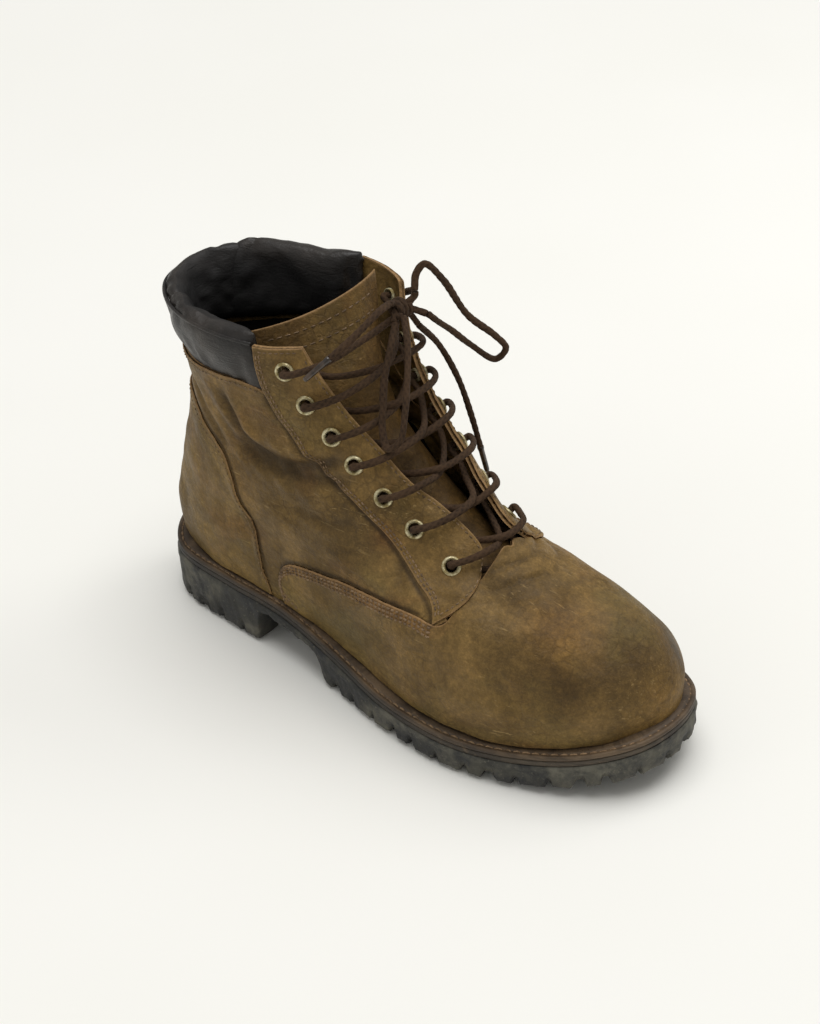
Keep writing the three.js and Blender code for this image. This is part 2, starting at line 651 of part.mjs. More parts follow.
// The lace passes through each eyelet from inside, then over its own flap and under the opposite one.
function lacePath() {
  const sides = { L: [LATERAL, EYELETS_LATERAL], M: [MEDIAL, EYELETS_MEDIAL] };
  const hole = (key) => {
    const [side, list] = sides[key[0]];
    return place(side, list[Number(key[1]) - 1]);
  };
  const point = ([u, v], depth) => skin(u, v, depth);
  const order = "L1 M2 L3 M4 L5 M6 L7 M7 L6 M5 L4 M3 L2 M1".split(" ");
  const path = curvePoints(LACE_LATERAL);
  order.forEach((key, i) => {
    const here = hole(key);
    const rising = i >= order.length / 2;
    const depths = rising ? [...THROUGH].reverse() : THROUGH;
    path.push(...depths.map((depth) => point(here, depth)));
    if (i + 1 === order.length) return;
    const next = hole(order[i + 1]);
    path.push(...crossing(here, next, rising, i === order.length / 2 - 1));
  });
  return [...path, ...curvePoints(LACE_MEDIAL).reverse()];
}

// Points between two eyelets across the throat.
function crossing(from, to, over, straight) {
  const toward = (a, b, share) => {
    const wrap = (u) => (u > 8 ? u - 16 : u);
    return [lerp(wrap(a[0]), wrap(b[0]), share), lerp(a[1], b[1], share)];
  };
  const [outside, inside] = [THROUGH[0], THROUGH.at(-1)];
  const near = over ? outside : inside;
  const far = over || straight ? inside : outside;
  const middle = straight ? inside : over ? -1.6 : 3.6;
  const at = (share, depth) => {
    const [u, v] = toward(from, to, share);
    return skin(u, v, depth);
  };
  return [at(0.12, near), at(0.27, near), at(0.5, middle), at(0.73, far), at(0.88, far)];
}

function knot() {
  const bumps = [[0, 0, 0, 5], [2, 2, 0, 3.4], [-1, -3, 0, 3.4]];
  const solids = bumps.map(([x, y, z, r]) => toSolid(new THREE.SphereGeometry(r, 10, 6).translate(x, y, z)));
  const piece = add("bow_knot", toGeometry(solids.reduce((a, b) => a.add(b))), "lace");
  piece.position.set(...KNOT);
}

function laces() {
  const curve = new THREE.CatmullRomCurve3(lacePath());
  add("lace", bar(curve, LACE, 184), "lace");
  knot();
  add("bow_loop_medial", bar(curveOf(LOOP_MEDIAL), LACE, 26), "lace");
  add("bow_loop_lateral", bar(curveOf(LOOP_LATERAL), LACE, 24), "lace");
  for (const [name, points] of [["medial", TAIL_MEDIAL], ["lateral", TAIL_LATERAL]]) {
    const curve = curveOf(points);
    add("lace_tail_" + name, bar(curve, LACE, 12), "lace");
    const end = curve.getPoint(1);
    const direction = curve.getTangent(1);
    const reach = (length) => end.clone().addScaledVector(direction, length).toArray();
    const aglet = curveOf([reach(GAP), reach(GAP + AGLET_LENGTH)]);
    add("aglet_" + name, bar(aglet, LACE - 0.4, 2), "aglet");
  }
}

soleUnit();
forefoot();
quarter(LATERAL, "lateral");
quarter(MEDIAL, "medial");
quarterLining(LATERAL, "lateral");
quarterLining(MEDIAL, "medial");
heelPieces();
collar();
eyestay(LATERAL, "lateral", EYELETS_LATERAL, EYESTAY_TOP_LATERAL);
eyestay(MEDIAL, "medial", EYELETS_MEDIAL, EYESTAY_TOP_MEDIAL);
tongue();
laces();

export default group;
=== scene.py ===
import math

import bmesh
import bpy
import numpy as np
from mathutils import Matrix, Vector


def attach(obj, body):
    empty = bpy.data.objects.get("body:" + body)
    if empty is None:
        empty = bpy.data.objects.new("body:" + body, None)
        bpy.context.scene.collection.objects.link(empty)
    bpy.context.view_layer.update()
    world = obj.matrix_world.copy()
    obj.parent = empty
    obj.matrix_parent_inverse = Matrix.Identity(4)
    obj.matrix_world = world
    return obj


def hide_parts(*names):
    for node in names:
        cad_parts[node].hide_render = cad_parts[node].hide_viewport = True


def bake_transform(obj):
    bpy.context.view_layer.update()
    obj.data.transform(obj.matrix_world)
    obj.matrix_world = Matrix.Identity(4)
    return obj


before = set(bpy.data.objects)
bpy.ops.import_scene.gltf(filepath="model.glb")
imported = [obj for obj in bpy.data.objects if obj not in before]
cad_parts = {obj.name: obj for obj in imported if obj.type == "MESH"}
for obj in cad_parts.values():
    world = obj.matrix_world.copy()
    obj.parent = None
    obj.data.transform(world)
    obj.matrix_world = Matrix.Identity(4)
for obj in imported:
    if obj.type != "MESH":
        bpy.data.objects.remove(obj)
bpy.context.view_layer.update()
random = np.random.default_rng(7)

# ---------------------------------------------------------------- driving dimensions
MM = 0.001
LATERAL, MEDIAL = -1, 1
HEEL_HEIGHT, BALL_HEIGHT = 27, 14  # ground to the top of the rubber at the heel and at the ball
HEEL_SLOPE = (30, 150)  # x between which the sole falls from the one to the other
TOE_SPRING, SPRING_START, SOLE_TIP = 15.5, 180, 267
HEEL_BREAST, TREAD_START = 36, 88  # x of the heel block's front and of the forefoot tread's back
ARCH_THICKNESS = 7
TREAD_TOE_LIFT = 14
MIDSOLE = 3
WELT = 2.3
LAYER_GAP = 0.35
WELT_TOP = MIDSOLE + WELT + 2 * LAYER_GAP
LEATHER, EYESTAY_LEATHER = 2.2, 1.4  # thickness
OVERLAY = 1.5  # how far the eyestays stand proud of the quarters
OVERLAP = 1.3  # the same for the edges of the wings and of the heel pocket
THROAT = 173  # x of the throat, where the tongue starts
POCKET_TOP = 129
EYELET_BORE, EYELET_BARREL, EYELET_FLANGE = 2.9, 3.5, 4.8  # radii
LACE = 1.8  # lace radius
GRID = 1.6  # spacing of the mesh lines on the upper
EDGE_LINES = (0, 0.15, 0.4, 0.75, 1.2)  # distances of the close mesh lines at a rounded edge
EDGE_ROUNDING = 0.7
FEATHER = 0.004  # v of the line where the upper meets the welt
FEATHER_BLEND = 50  # height over which the skin goes from following the welt to its own levels

# Outer edge of the sole seen from above: the medial side from heel to toe, then the lateral side back.
SOLE_OUTLINE = [
    (-44, 0), (-33, 24), (-2, 38), (35, 35), (75, 31), (115, 37), (160, 50), (200, 53), (238, 41),
    (260, 23), (266, 2), (260, -21), (241, -39), (214, -51), (174, -60), (134, -57), (95, -48),
    (57, -41), (17, -38), (-26, -29),
]
# Front line of the upper from the toe over the instep to the collar: x, z, y.
RIDGE = [
    (261, 34, 2), (261, 46, 2), (257, 58, 2), (247, 69, 2), (232, 76.5, 2), (212, 81, 1),
    (192, 85.5, 0), (174, 93.5, 0), (157, 105, 0), (140, 118, 1), (124, 131, 3), (110, 145, 5),
    (99, 159, 8), (90, 174, 11), (83, 190, 14),
]
# Back line of the upper: z, x.
BACK = [
    (33, -40), (50, -41), (66, -38.5), (94, -31), (119, -24), (135, -20.5), (151, -23),
    (166, -28), (180, -32), (190, -31),
]
# Half widths at these shares of the length from back to front, for a few heights (the first number).
SHARES = np.array([0.03, 0.15, 0.32, 0.5, 0.66, 0.81, 0.94])
LATERAL_WIDTHS = [
    (34, 18, 33, 36.5, 44.5, 54, 50, 30),
    (52, 19, 34.5, 39, 46, 55.5, 51.5, 33),
    (72, 17, 33, 38.5, 44, 48.5, 43.5, 27),
    (92, 15, 30.5, 38, 41, 40.5, 33.5, 20),
    (118, 13, 27, 35, 36.5, 34, 29.5, 18),
    (150, 13, 26, 35, 37.5, 35.5, 29.5, 18),
    (190, 13, 26, 34, 37.5, 36.5, 32, 20),
]
MEDIAL_WIDTHS = [
    (34, 18, 32, 27.5, 34, 46, 47, 33),
    (52, 19, 34, 31, 37, 47.5, 47, 34),
    (72, 17, 33, 34, 36.5, 39, 35, 24),
    (92, 15, 31, 35, 35.5, 33, 26.5, 15.5),
    (118, 13, 28, 34.5, 37, 36.5, 32, 22),
    (150, 13, 27, 36, 40, 41, 38, 29),
    (190, 17, 33, 42, 48, 51, 51, 43),
]

# Pattern lines of the upper as x, z in side view.
POCKET_SEAM = [(45, 42), (42, 62), (27, 99), (2, 121), (-14, 128)]
COLLAR_EDGE = [(-22, 152), (-6, 153), (20, 157), (40, 159), (55, 156)]  # back to front
WING = [(56, 45), (57, 55), (64, 63), (81, 67.5), (109, 72), (150, 74)]  # top edge of the vamp's wing
EYESTAY_REAR = [(159, 73), (147, 84), (130, 95), (105, 112), (82, 126), (67, 141), (56, 157)]
EYESTAY_FRONT = [(168, 90), (158, 101), (141, 113), (124, 124), (108, 138), (95, 151), (84, 165)]
EYESTAY_TOPS = {LATERAL: [(50, 182), (73, 184)], MEDIAL: [(47, 189), (75, 186)]}  # rear and front corner
EYELETS = {
    LATERAL: [(66, 172), (76, 156), (89, 142), (101, 130), (117, 117), (134, 105), (155, 92)],
    MEDIAL: [(68, 176), (80, 159), (92, 145), (105, 132), (120, 119), (136, 106), (152, 92)],
}
SIDE_NAMES = {LATERAL: "lateral", MEDIAL: "medial"}


# ---------------------------------------------------------------- curves
def smoothstep(x, low=0.0, high=1.0):
    t = np.clip((x - low) / (high - low), 0, 1)
    return t * t * (3 - 2 * t)


def hermite(rows, x):
    """The smooth curve through rows of (x, y...), with tangents from the neighbouring rows."""
    rows = np.asarray(rows, float)
    knots, values = rows[:, 0], rows[:, 1:]
    slopes = np.diff(values, axis=0) / np.diff(knots)[:, None]
    tangents = np.vstack([slopes[:1], (slopes[1:] + slopes[:-1]) / 2, slopes[-1:]])
    i = np.clip(np.searchsorted(knots, x) - 1, 0, len(knots) - 2)
    step = (knots[i + 1] - knots[i])[..., None]
    t = np.clip((x - knots[i]) / step[..., 0], 0, 1)[..., None]
    bend = t * (1 - t) * ((1 - t) * tangents[i] - t * tangents[i + 1])
    return values[i] + (values[i + 1] - values[i]) * t * t * (3 - 2 * t) + step * bend


def spline(points, t, closed=False):
    """Points at t (0 to 1) of the centripetal Catmull-Rom curve through some points."""
    points = np.asarray(points, float)
    n = len(points)
    if closed:
        ring = np.vstack([points[-1:], points, points[:2]])
        spans = n
    else:
        ring = np.vstack([2 * points[0] - points[1], points, 2 * points[-1] - points[-2]])
        spans = n - 1
    at = np.clip(np.asarray(t, float), 0, 1) * spans
    i = np.minimum(at.astype(int), spans - 1)
    w = (at - i)[:, None]
    p0, p1, p2, p3 = (ring[i + k] for k in range(4))
    d0, d1, d2 = (np.maximum(np.linalg.norm(b - a, axis=1), 1e-6)[:, None] ** 0.5
                  for a, b in ((p0, p1), (p1, p2), (p2, p3)))
    m1 = d1 * ((p1 - p0) / d0 - (p2 - p0) / (d0 + d1) + (p2 - p1) / d1)
    m2 = d1 * ((p2 - p1) / d1 - (p3 - p1) / (d1 + d2) + (p3 - p2) / d2)
    a, b = 2 * p1 - 2 * p2 + m1 + m2, -3 * p1 + 3 * p2 - 2 * m1 - m2
    return ((a * w + b) * w + m1) * w + p1


def walk(points, spacing):
    """The same polyline with its points evenly spaced."""
    points = np.asarray(points, float)
    run = np.concatenate([[0], np.cumsum(np.linalg.norm(np.diff(points, axis=0), axis=1))])
    count = max(2, int(round(run[-1] / spacing)) + 1)
    even = np.linspace(0, run[-1], count)
    return np.stack([np.interp(even, run, c) for c in points.T], axis=1)


def smooth_line(points, spacing, closed=False):
    return walk(spline(points, np.linspace(0, 1, 40 * len(points)), closed), spacing)


def toe_share(x):
    """0 behind the toe spring, 1 at the tip of the sole."""
    return np.clip((x - SPRING_START) / (SOLE_TIP - SPRING_START), 0, 1)


def sole_level(x):
    """Height of the top of the rubber."""
    heel = 1 - smoothstep(x, *HEEL_SLOPE)
    return BALL_HEIGHT + (HEEL_HEIGHT - BALL_HEIGHT) * heel + TOE_SPRING * toe_share(x) ** 2


# ---------------------------------------------------------------- the skin of the upper
ridge_run = np.concatenate([[0], np.cumsum(np.hypot(*np.diff(np.array(RIDGE)[:, :2], axis=0).T))])
RIDGE_ROWS = np.column_stack([ridge_run / ridge_run[-1], RIDGE])
BASE, TOP = RIDGE[0][1], RIDGE[-1][1]


def surface(u, v):
    """Points of the skin: u 0 front, 4 lateral, 8 back, 12 medial; v 0 at the welt, 1 at the collar."""
    u, v = np.broadcast_arrays(np.asarray(u, float), np.asarray(v, float))
    front, z, front_y = np.moveaxis(hermite(RIDGE_ROWS, v), -1, 0)
    back = hermite(BACK, z)[..., 0]
    length = (front - back)[..., None]
    stations = back[..., None] + SHARES * length
    lateral, medial = hermite(LATERAL_WIDTHS, z), hermite(MEDIAL_WIDTHS, z)
    ring_x = np.concatenate([front[..., None], stations[..., ::-1], back[..., None], stations], -1)
    ring_y = np.concatenate([front_y[..., None], -lateral[..., ::-1], 0 * back[..., None], medial], -1)
    whole = np.floor(u).astype(int)
    t = u - whole
    xy = []
    for ring in (ring_x, ring_y):
        a, b, c, d = (np.take_along_axis(ring, ((whole + k) % 16)[..., None], -1)[..., 0]
                      for k in (-1, 0, 1, 2))
        xy.append(b + 0.5 * t * (c - a + t * (2 * a - 5 * b + 4 * c - d + t * (3 * (b - c) + d - a))))
    follow = 1 - smoothstep(z, BASE, BASE + FEATHER_BLEND)
    return np.stack([*xy, z + (sole_level(xy[0]) + WELT_TOP + LAYER_GAP - BASE) * follow], -1)


def normal_at(u, v):
    v = np.clip(v, 0, .995)
    around = surface(u + 0.05, v) - surface(u - 0.05, v)
    up = surface(u, np.minimum(v + 0.01, 1)) - surface(u, np.maximum(v - 0.01, 0))
    normal = np.cross(up, around)
    return normal / np.linalg.norm(normal, axis=-1, keepdims=True)


def bisect(low, high, is_low, shape):
    low, high = np.full(shape, float(low)), np.full(shape, float(high))
    for _ in range(34):
        middle = (low + high) / 2
        below = is_low(middle)
        low, high = np.where(below, middle, low), np.where(below, high, middle)
    return (low + high) / 2


def place(side, points):
    """(u, v) of points given as x, z in side view."""
    x, z = np.asarray(points, float).T
    nominal = z
    for _ in range(6):
        v = bisect(0, 1, lambda m: hermite(RIDGE_ROWS, m)[..., 1] < nominal, x.shape)
        u = bisect(0, 8, lambda m: surface(m if side == LATERAL else 16 - m, v)[..., 0] > x, x.shape)
        u = u if side == LATERAL else 16 - u
        nominal = np.clip(nominal + z - surface(u, v)[..., 2], BASE, TOP)
    return np.stack([u, v], -1)


def on_feather(side, xs, v=FEATHER):
    xs = np.asarray(xs, float)
    u = bisect(0, 8, lambda m: surface(m if side == LATERAL else 16 - m, v)[..., 0] > xs, xs.shape)
    return np.stack([u if side == LATERAL else 16 - u, np.full(xs.shape, v)], -1)


# ---------------------------------------------------------------- wear: creases with painted shade in them, waves and stains
# Creases as (depth, width, (u, v) points); a negative depth is a swelling. Each is mirrored to the other
# side, a little weaker there.
CREASES = [
    (2.3, 3.6, [(4.68, .835), (4.76, .76), (4.61, .70), (4.2, .662), (3.55, .651), (2.67, .69), (1.8, .728)]),
    (1.5, 3.0, [(5.24, .755), (4.88, .674), (4.42, .629), (3.67, .617), (2.73, .642), (1.92, .671)]),
    (-1.3, 6.0, [(4.6, .735), (4.05, .695), (3.3, .69), (2.6, .725)]),
    (-1.0, 6.0, [(5.0, .63), (4.3, .585), (3.5, .575), (2.7, .60)]),
    (1.0, 2.6, [(6.6, .77), (5.9, .72), (5.4, .66), (5.15, .60)]),
    (0.8, 1.8, [(2.19, .451), (2.41, .388), (2.74, .30)]),
    (0.8, 2.4, [(3.9, .52), (3.3, .50), (2.6, .53)]),
]
# The same over the forefoot, from the lateral side across the ridge to the medial side.
VAMP_CREASES = [
    (1.0, 1.5, [(1.30, .425), (.87, .431), (.47, .444), (.07, .441), (-.78, .415), (-1.9, .36)]),
    (0.8, 1.4, [(1.5, .378), (.96, .388), (.38, .400), (-.6, .372), (-1.7, .32)]),
    (0.6, 1.3, [(.8, .468), (.3, .470), (-.4, .462), (-1.1, .43)]),
    (0.4, 1.1, [(1.1, .352), (.7, .366), (.2, .374)]),
    (-0.8, 4.0, [(1.1, .405), (.5, .420), (-.2, .420), (-.9, .392)]),
    (0.6, 2.2, [(2.3, .33), (1.6, .335), (.9, .352), (.3, .362)]),
    (0.7, 3.0, [(-1.9, .30), (-1.2, .335), (-.5, .352)]),
]
SIDE_STRENGTHS = {LATERAL: 1.15, MEDIAL: 0.92}
SIDE_FULL_DARK, VAMP_FULL_DARK = 2.1, 2.6  # depths at which the painted shade of creases is fully dark
SEAM_SHADE = (0.25, 1.3, 1.1)  # depth, width and darkness of the line beside an overlapped edge
WAVES = [(random.normal(size=3), random.uniform(0, 2 * math.pi)) for _ in range(9)]
WAVE_DEPTH = 0.11
# Stains as (u, v, radius, strength, colour multiplier).
STAINS = [
    (.85, .255, 17, .8, (1.15, .98, .72)), (1.36, .117, 13, .75, (.52, .50, .48)),
    (.78, .159, 10, .5, (.60, .58, .60)), (0, .135, 9, .5, (1.35, 1.35, 1.4)),
    (-.55, .10, 11, .7, (.55, .52, .50)), (4.7, .06, 22, .5, (1.12, 1.14, .95)),
    (4.1, .083, 13, .5, (.70, .74, .72)), (2.38, .09, 15, .5, (.78, .74, .70)),
    (2.2, .51, 7, .6, (1.1, .80, .70)), (3.6, .45, 26, .45, (.80, .78, .72)),
    (3.9, .80, 20, .6, (1.12, 1.06, 1.10)), (5.0, .52, 14, .45, (1.10, 1.0, .75)),
    (1.0, .44, 16, .5, (.72, .70, .68)), (1.9, .05, 16, .6, (1.15, 1.10, .90)),
    (.2, .05, 14, .5, (1.20, 1.12, .92)), (-2.0, .2, 22, .4, (.80, .78, .74)),
    (-4.0, .3, 24, .4, (1.12, 1.05, .90)), (-4.5, .6, 20, .5, (.78, .76, .72)),
    (-1.4, .16, 14, .5, (1.2, 1.1, .9)), (7.5, .1, 18, .5, (.85, .82, .78)),
    (8.2, .62, 16, .4, (.80, .76, .72)), (-3.0, .07, 16, .4, (.75, .72, .70)),
    (1.15, .11, 15, .5, (.66, .64, .60)), (.55, .10, 14, .5, (.66, .64, .62)),
    (.05, .10, 14, .6, (.62, .60, .56)), (-.5, .13, 14, .5, (.70, .68, .66)),
    (3.4, .67, 16, .5, (1.3, 1.3, 1.2)),
]


def distance_to(points, line):
    """Distance of each point from a polyline, and how far along it the nearest place is (0 to 1)."""
    best, share = np.full(len(points), 1e9), np.zeros(len(points))
    for i, (a, b) in enumerate(zip(line[:-1], line[1:])):
        t = np.clip((points - a) @ (b - a) / ((b - a) @ (b - a) + 1e-12), 0, 1)
        d = np.linalg.norm(points - a - t[:, None] * (b - a), axis=1)
        nearer = d < best
        best, share = np.where(nearer, d, best), np.where(nearer, (i + t) / (len(line) - 1), share)
    return best, share


def moved(points, dx, dz):
    return [(x + dx, z + dz) for x, z in points]


def crease_lines():
    """(depth, width, darkness of the painted shade, whether it fades at its ends, points) of all creases and
    shaded seams.
    """
    lines = []
    for depth, width, uv in CREASES:
        for side, strength in SIDE_STRENGTHS.items():
            points = np.array(uv) if side == LATERAL else np.array(uv) * (-1, 1) + (16, 0)
            lines.append((depth * strength, width, max(depth, 0) / SIDE_FULL_DARK, True, points))
    for depth, width, uv in VAMP_CREASES:
        lines.append((depth, width, max(depth, 0) / VAMP_FULL_DARK, True, uv))
    for side in (LATERAL, MEDIAL):
        for seam in (moved(WING, -.6, 1), moved(POCKET_SEAM, 1, 1), moved(EYESTAY_REAR, -1, -.8)):
            lines.append((*SEAM_SHADE, False, place(side, seam)))
    return [(*line[:-1], walk(surface(*smooth_line(line[-1], 0.09).T), 6)) for line in lines]


crease_paths = crease_lines()


def waves(points):
    total = np.zeros(len(points))
    for k, (direction, phase) in enumerate(WAVES):
        total += WAVE_DEPTH * np.sin(points @ direction * (0.06 + 0.02 * k) + phase)
    return total


def dents(points):
    """(depth, darkness of the painted shade) of the creases and shaded seams at points of the skin."""
    depth, dark = waves(points), np.zeros(len(points))
    for deep, width, darkness, fades, line in crease_paths:
        near = np.all((points > line.min(0) - 3 * width) & (points < line.max(0) + 3 * width), axis=1)
        if not near.any():
            continue
        d, share = distance_to(points[near], line)
        wobble = 1 + 0.25 * np.sin(points[near] @ (0.5, 0.3, 0.4))
        fade = smoothstep(share, 0, .12) * (1 - smoothstep(share, .88, 1)) if fades else 1.0
        shape = np.exp(-(d / width) ** 2) * fade
        lip = np.exp(-((d - 2.1 * width) / width) ** 2) * fade
        depth[near] += deep * wobble * (shape - 0.25 * lip)
        dark[near] += darkness * shape
    return depth, np.clip(dark, 0, 1)


def tint_at(points):
    tint = np.ones((len(points), 3))
    for u, v, radius, strength, multiplier in STAINS:
        centre = surface(np.array([u]), np.array([v]))
        share = strength * np.exp(-(np.linalg.norm(points - centre, axis=1) / radius) ** 2)
        tint += share[:, None] * (np.array(multiplier) - 1)
    return np.clip(tint, 0.3, 1.6)


def skin_point(u, v, depth):
    """Points under the smooth skin; a negative depth stands proud."""
    return surface(u, v) - normal_at(u, v) * np.asarray(depth)[..., None]


def worn_point(u, v, proud):
    """Points that stand proud of the skin with its creases and waves."""
    points = surface(u, v)
    dent = dents(points.reshape(-1, 3))[0].reshape(np.shape(points)[:-1])
    return points + normal_at(u, v) * (proud - dent)[..., None]


# ---------------------------------------------------------------- meshes
def piece(name, points, faces, material, body="boot", slot=None, stands_for=(), **values):
    """A mesh object from points in mm and quads or triangles, riding on a body, with point attributes."""
    mesh = bpy.data.meshes.new(name)
    mesh.from_pydata((np.asarray(points) * MM).tolist(), [], [tuple(face) for face in faces])
    mesh.update()
    mesh.shade_smooth()
    mesh.materials.append(material)
    for key, value in values.items():
        if np.ndim(value) == 2:
            attribute = mesh.attributes.new(key, "FLOAT_COLOR", "POINT")
            rgba = np.column_stack([value, np.ones(len(value))])
            attribute.data.foreach_set("color", rgba.astype(np.float32).ravel())
        else:
            attribute = mesh.attributes.new(key, "FLOAT", "POINT")
            attribute.data.foreach_set("value", np.asarray(value, np.float32))
    made = bpy.data.objects.new(name, mesh)
    bpy.context.scene.collection.objects.link(made)
    if body:
        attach(made, body)
    if stands_for:
        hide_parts(*stands_for)
    return made


def apply_modifiers(made):
    """Replaces a piece's mesh by what its modifiers make of it."""
    bpy.context.view_layer.update()
    graph = bpy.context.evaluated_depsgraph_get()
    mesh = bpy.data.meshes.new_from_object(made.evaluated_get(graph), preserve_all_data_layers=True,
                                           depsgraph=graph)
    made.modifiers.clear()
    made.data = mesh
    made.data.shade_smooth()


def weld(made):
    """Joins coincident points and turns every face outwards."""
    joined = bmesh.new()
    joined.from_mesh(made.data)
    bmesh.ops.remove_doubles(joined, verts=joined.verts, dist=0.02 * MM)
    bmesh.ops.dissolve_degenerate(joined, edges=joined.edges, dist=1e-6)
    bmesh.ops.recalc_face_normals(joined, faces=joined.faces)
    joined.to_mesh(made.data)
    joined.free()
    made.data.shade_smooth()


def grid_faces(columns, rows, offset=0, flip=False, ring=False, closed=False):
    """Quads over a grid of points stored column by column. Ring joins the last row to the first, and
    closed the last column to the first."""
    i, j = np.meshgrid(np.arange(columns if closed else columns - 1), np.arange(rows if ring else rows - 1),
                       indexing="ij")
    n, k = (i + 1) % columns, (j + 1) % rows
    quads = np.stack([i * rows + j, n * rows + j, n * rows + k, i * rows + k], -1).reshape(-1, 4) + offset
    return quads[:, ::-1] if flip else quads


def outward(points, faces):
    """The same faces, turned if needed so that they enclose a positive volume."""
    a, b, c = (points[np.array([face[k] for face in faces])] for k in range(3))
    quads = np.array([face for face in faces if len(face) == 4])
    p, q, r = (points[quads[:, k]] for k in (0, 2, 3))
    volume = np.einsum("ij,ij->", a, np.cross(b, c)) + np.einsum("ij,ij->", p, np.cross(q, r))
    return [tuple(face)[::-1] for face in faces] if volume < 0 else [tuple(face) for face in faces]


def tube(rings, closed=False):
    """Points and faces through a row of rings; open tubes get a fan at each end."""
    count, size = len(rings), len(rings[0])
    points = np.concatenate(rings)
    faces = [tuple(face) for face in grid_faces(count, size, ring=True, closed=closed)]
    for start in () if closed else (0, (count - 1) * size):
        centre = len(points)
        points = np.vstack([points, points[start:start + size].mean(0)])
        for j in range(size):
            a, b = start + j, start + (j + 1) % size
            faces.append((centre, b, a) if start else (centre, a, b))
    return points, outward(points, faces)


def sheet(outer, inner, columns, rows):
    """A closed sheet from its outer and inner grids of points, joined along their rims."""
    n = columns * rows
    rim = np.concatenate([np.arange(rows), rows * np.arange(1, columns) + rows - 1,
                          n - 1 - np.arange(1, rows), rows * np.arange(columns - 2, 0, -1)])
    after = np.roll(rim, -1)
    faces = np.vstack([grid_faces(columns, rows), grid_faces(columns, rows, n, flip=True),
                       np.stack([after, rim, rim + n, after + n], -1)])
    points = np.vstack([outer.reshape(-1, 3), inner.reshape(-1, 3)])
    return points, outward(points, faces)


def bevel(to_edge, radius):
    """How far a rounded edge falls away from the face at a distance from the edge."""
    return radius * (1 - np.sqrt(1 - (1 - np.clip(to_edge / radius, 0, 1)) ** 2))


def frames_along(line):
    """Normal and binormal along a polyline, carried along it without twist."""
    tangents = np.gradient(line, axis=0)
    tangents /= np.linalg.norm(tangents, axis=1, keepdims=True)
    normal = np.cross(tangents[0], (0.2, 0.1, 1.0))
    normals = []
    for tangent in tangents:
        normal = normal - tangent * (normal @ tangent)
        normal = normal / np.linalg.norm(normal)
        normals.append(normal)
    normals = np.array(normals)
    return normals, np.cross(tangents, normals)


def round_cord(line, radius, sides, flat=1.0):
    """Points and faces of a cord along a polyline, its radius one number or one for each point and side."""
    normal, binormal = frames_along(line)
    angles = np.linspace(0, 2 * math.pi, sides, endpoint=False)
    across, up = (np.broadcast_to(radius * a, (len(line), sides))[..., None]
                  for a in (np.cos(angles), flat * np.sin(angles)))
    return tube(line[:, None] + across * normal[:, None] + up * binormal[:, None])


def circle_round(axis, angles):
    """Unit vectors square to an axis, at some angles."""
    side = np.cross(axis, (0.3, 0.2, 1.0))
    side /= np.linalg.norm(side)
    return np.cos(angles)[:, None] * side + np.sin(angles)[:, None] * np.cross(axis, side)


def merge(parts):
    """One set of points and faces from several."""
    points, faces, offset = [], [], 0
    for part_points, part_faces in parts:
        points.append(part_points)
        faces += [tuple(int(i) + offset for i in face) for face in part_faces]
        offset += len(part_points)
    return np.vstack(points), faces


def in_rgb(value):
    return np.repeat(value[:, None], 3, axis=1)


def edge_lines(length):
    """Shares of a length for mesh lines: evenly spaced, with a few close to each end for a rounded edge."""
    close = np.array(EDGE_LINES) / length
    count = max(2, int(round((length - 2 * EDGE_LINES[-1]) / GRID)))
    return np.concatenate([close, np.linspace(close[-1], 1 - close[-1], count + 1)[1:-1], 1 - close[::-1]])


def ladder(low, high):
    """A patch between two lines of (u, v) points, taken pair by pair, as a function of two shares."""
    def patch(s, t):
        s, t = np.broadcast_arrays(np.asarray(s, float), np.asarray(t, float))
        bottom, top = spline(low, s.ravel()), spline(high, s.ravel())
        return (bottom + (top - bottom) * t.ravel()[:, None]).T.reshape(2, *s.shape)
    return patch


def patch_size(patch):
    across = surface(*patch(np.linspace(0, 1, 90), 0.5))
    up = surface(*patch(np.array([0.25, 0.5, 0.75])[:, None], np.linspace(0, 1, 40)[None, :]))
    length = np.linalg.norm(np.diff(across, axis=0), axis=1).sum()
    return length, np.linalg.norm(np.diff(up, axis=1), axis=2).sum(1).max()


def panel(name, node, patch, proud, material, slot="leather", thickness=LEATHER, tone=(1, 1, 1)):
    """A closed sheet of leather over a patch. How far it stands out of the skin and its colour multiplier are
    constants or functions of the share along it and the distance from its upper and side edges."""
    length, height = patch_size(patch)
    s_grid, t_grid = np.meshgrid(edge_lines(length), edge_lines(height), indexing="ij")
    u, v = patch(s_grid, t_grid)
    skin = surface(u, v)
    along_s = np.linalg.norm(np.diff(skin, axis=0, prepend=skin[:1]), axis=2).cumsum(0)
    along_t = np.linalg.norm(np.diff(skin, axis=1, prepend=skin[:, :1]), axis=2).cumsum(1)
    to_rim = np.minimum(np.minimum(along_s, along_s[-1:] - along_s), along_t[:, -1:] - along_t)
    to_edge = np.minimum(to_rim, along_t)
    lift = proud(s_grid, to_rim) if callable(proud) else proud
    depth, dark = (a.reshape(s_grid.shape) for a in dents(skin.reshape(-1, 3)))
    fuzz = 0.12 * np.sin(along_s * 2.1 + 3 * np.sin(along_s * .7)) * np.exp(-to_edge / 0.5)
    normal = normal_at(u, v)
    outer = skin - normal * (depth - lift + bevel(to_edge, EDGE_ROUNDING) + fuzz)[..., None]
    inner = skin - normal * (depth + thickness)[..., None]
    worn = np.exp(-(to_edge.ravel() / 0.55) ** 2)
    tint = tint_at(skin.reshape(-1, 3)) * (tone(s_grid, to_rim).reshape(-1, 3) if callable(tone) else tone)
    # painted shade: the dark values from dents() darken the creases and the lines beside overlapped seams
    return piece(name, *sheet(outer, inner, *s_grid.shape), material, slot=slot, stands_for=[node],
                 edge=np.tile(worn, 2), crease=np.tile(dark.ravel(), 2), tint=np.tile(tint, (2, 1)))


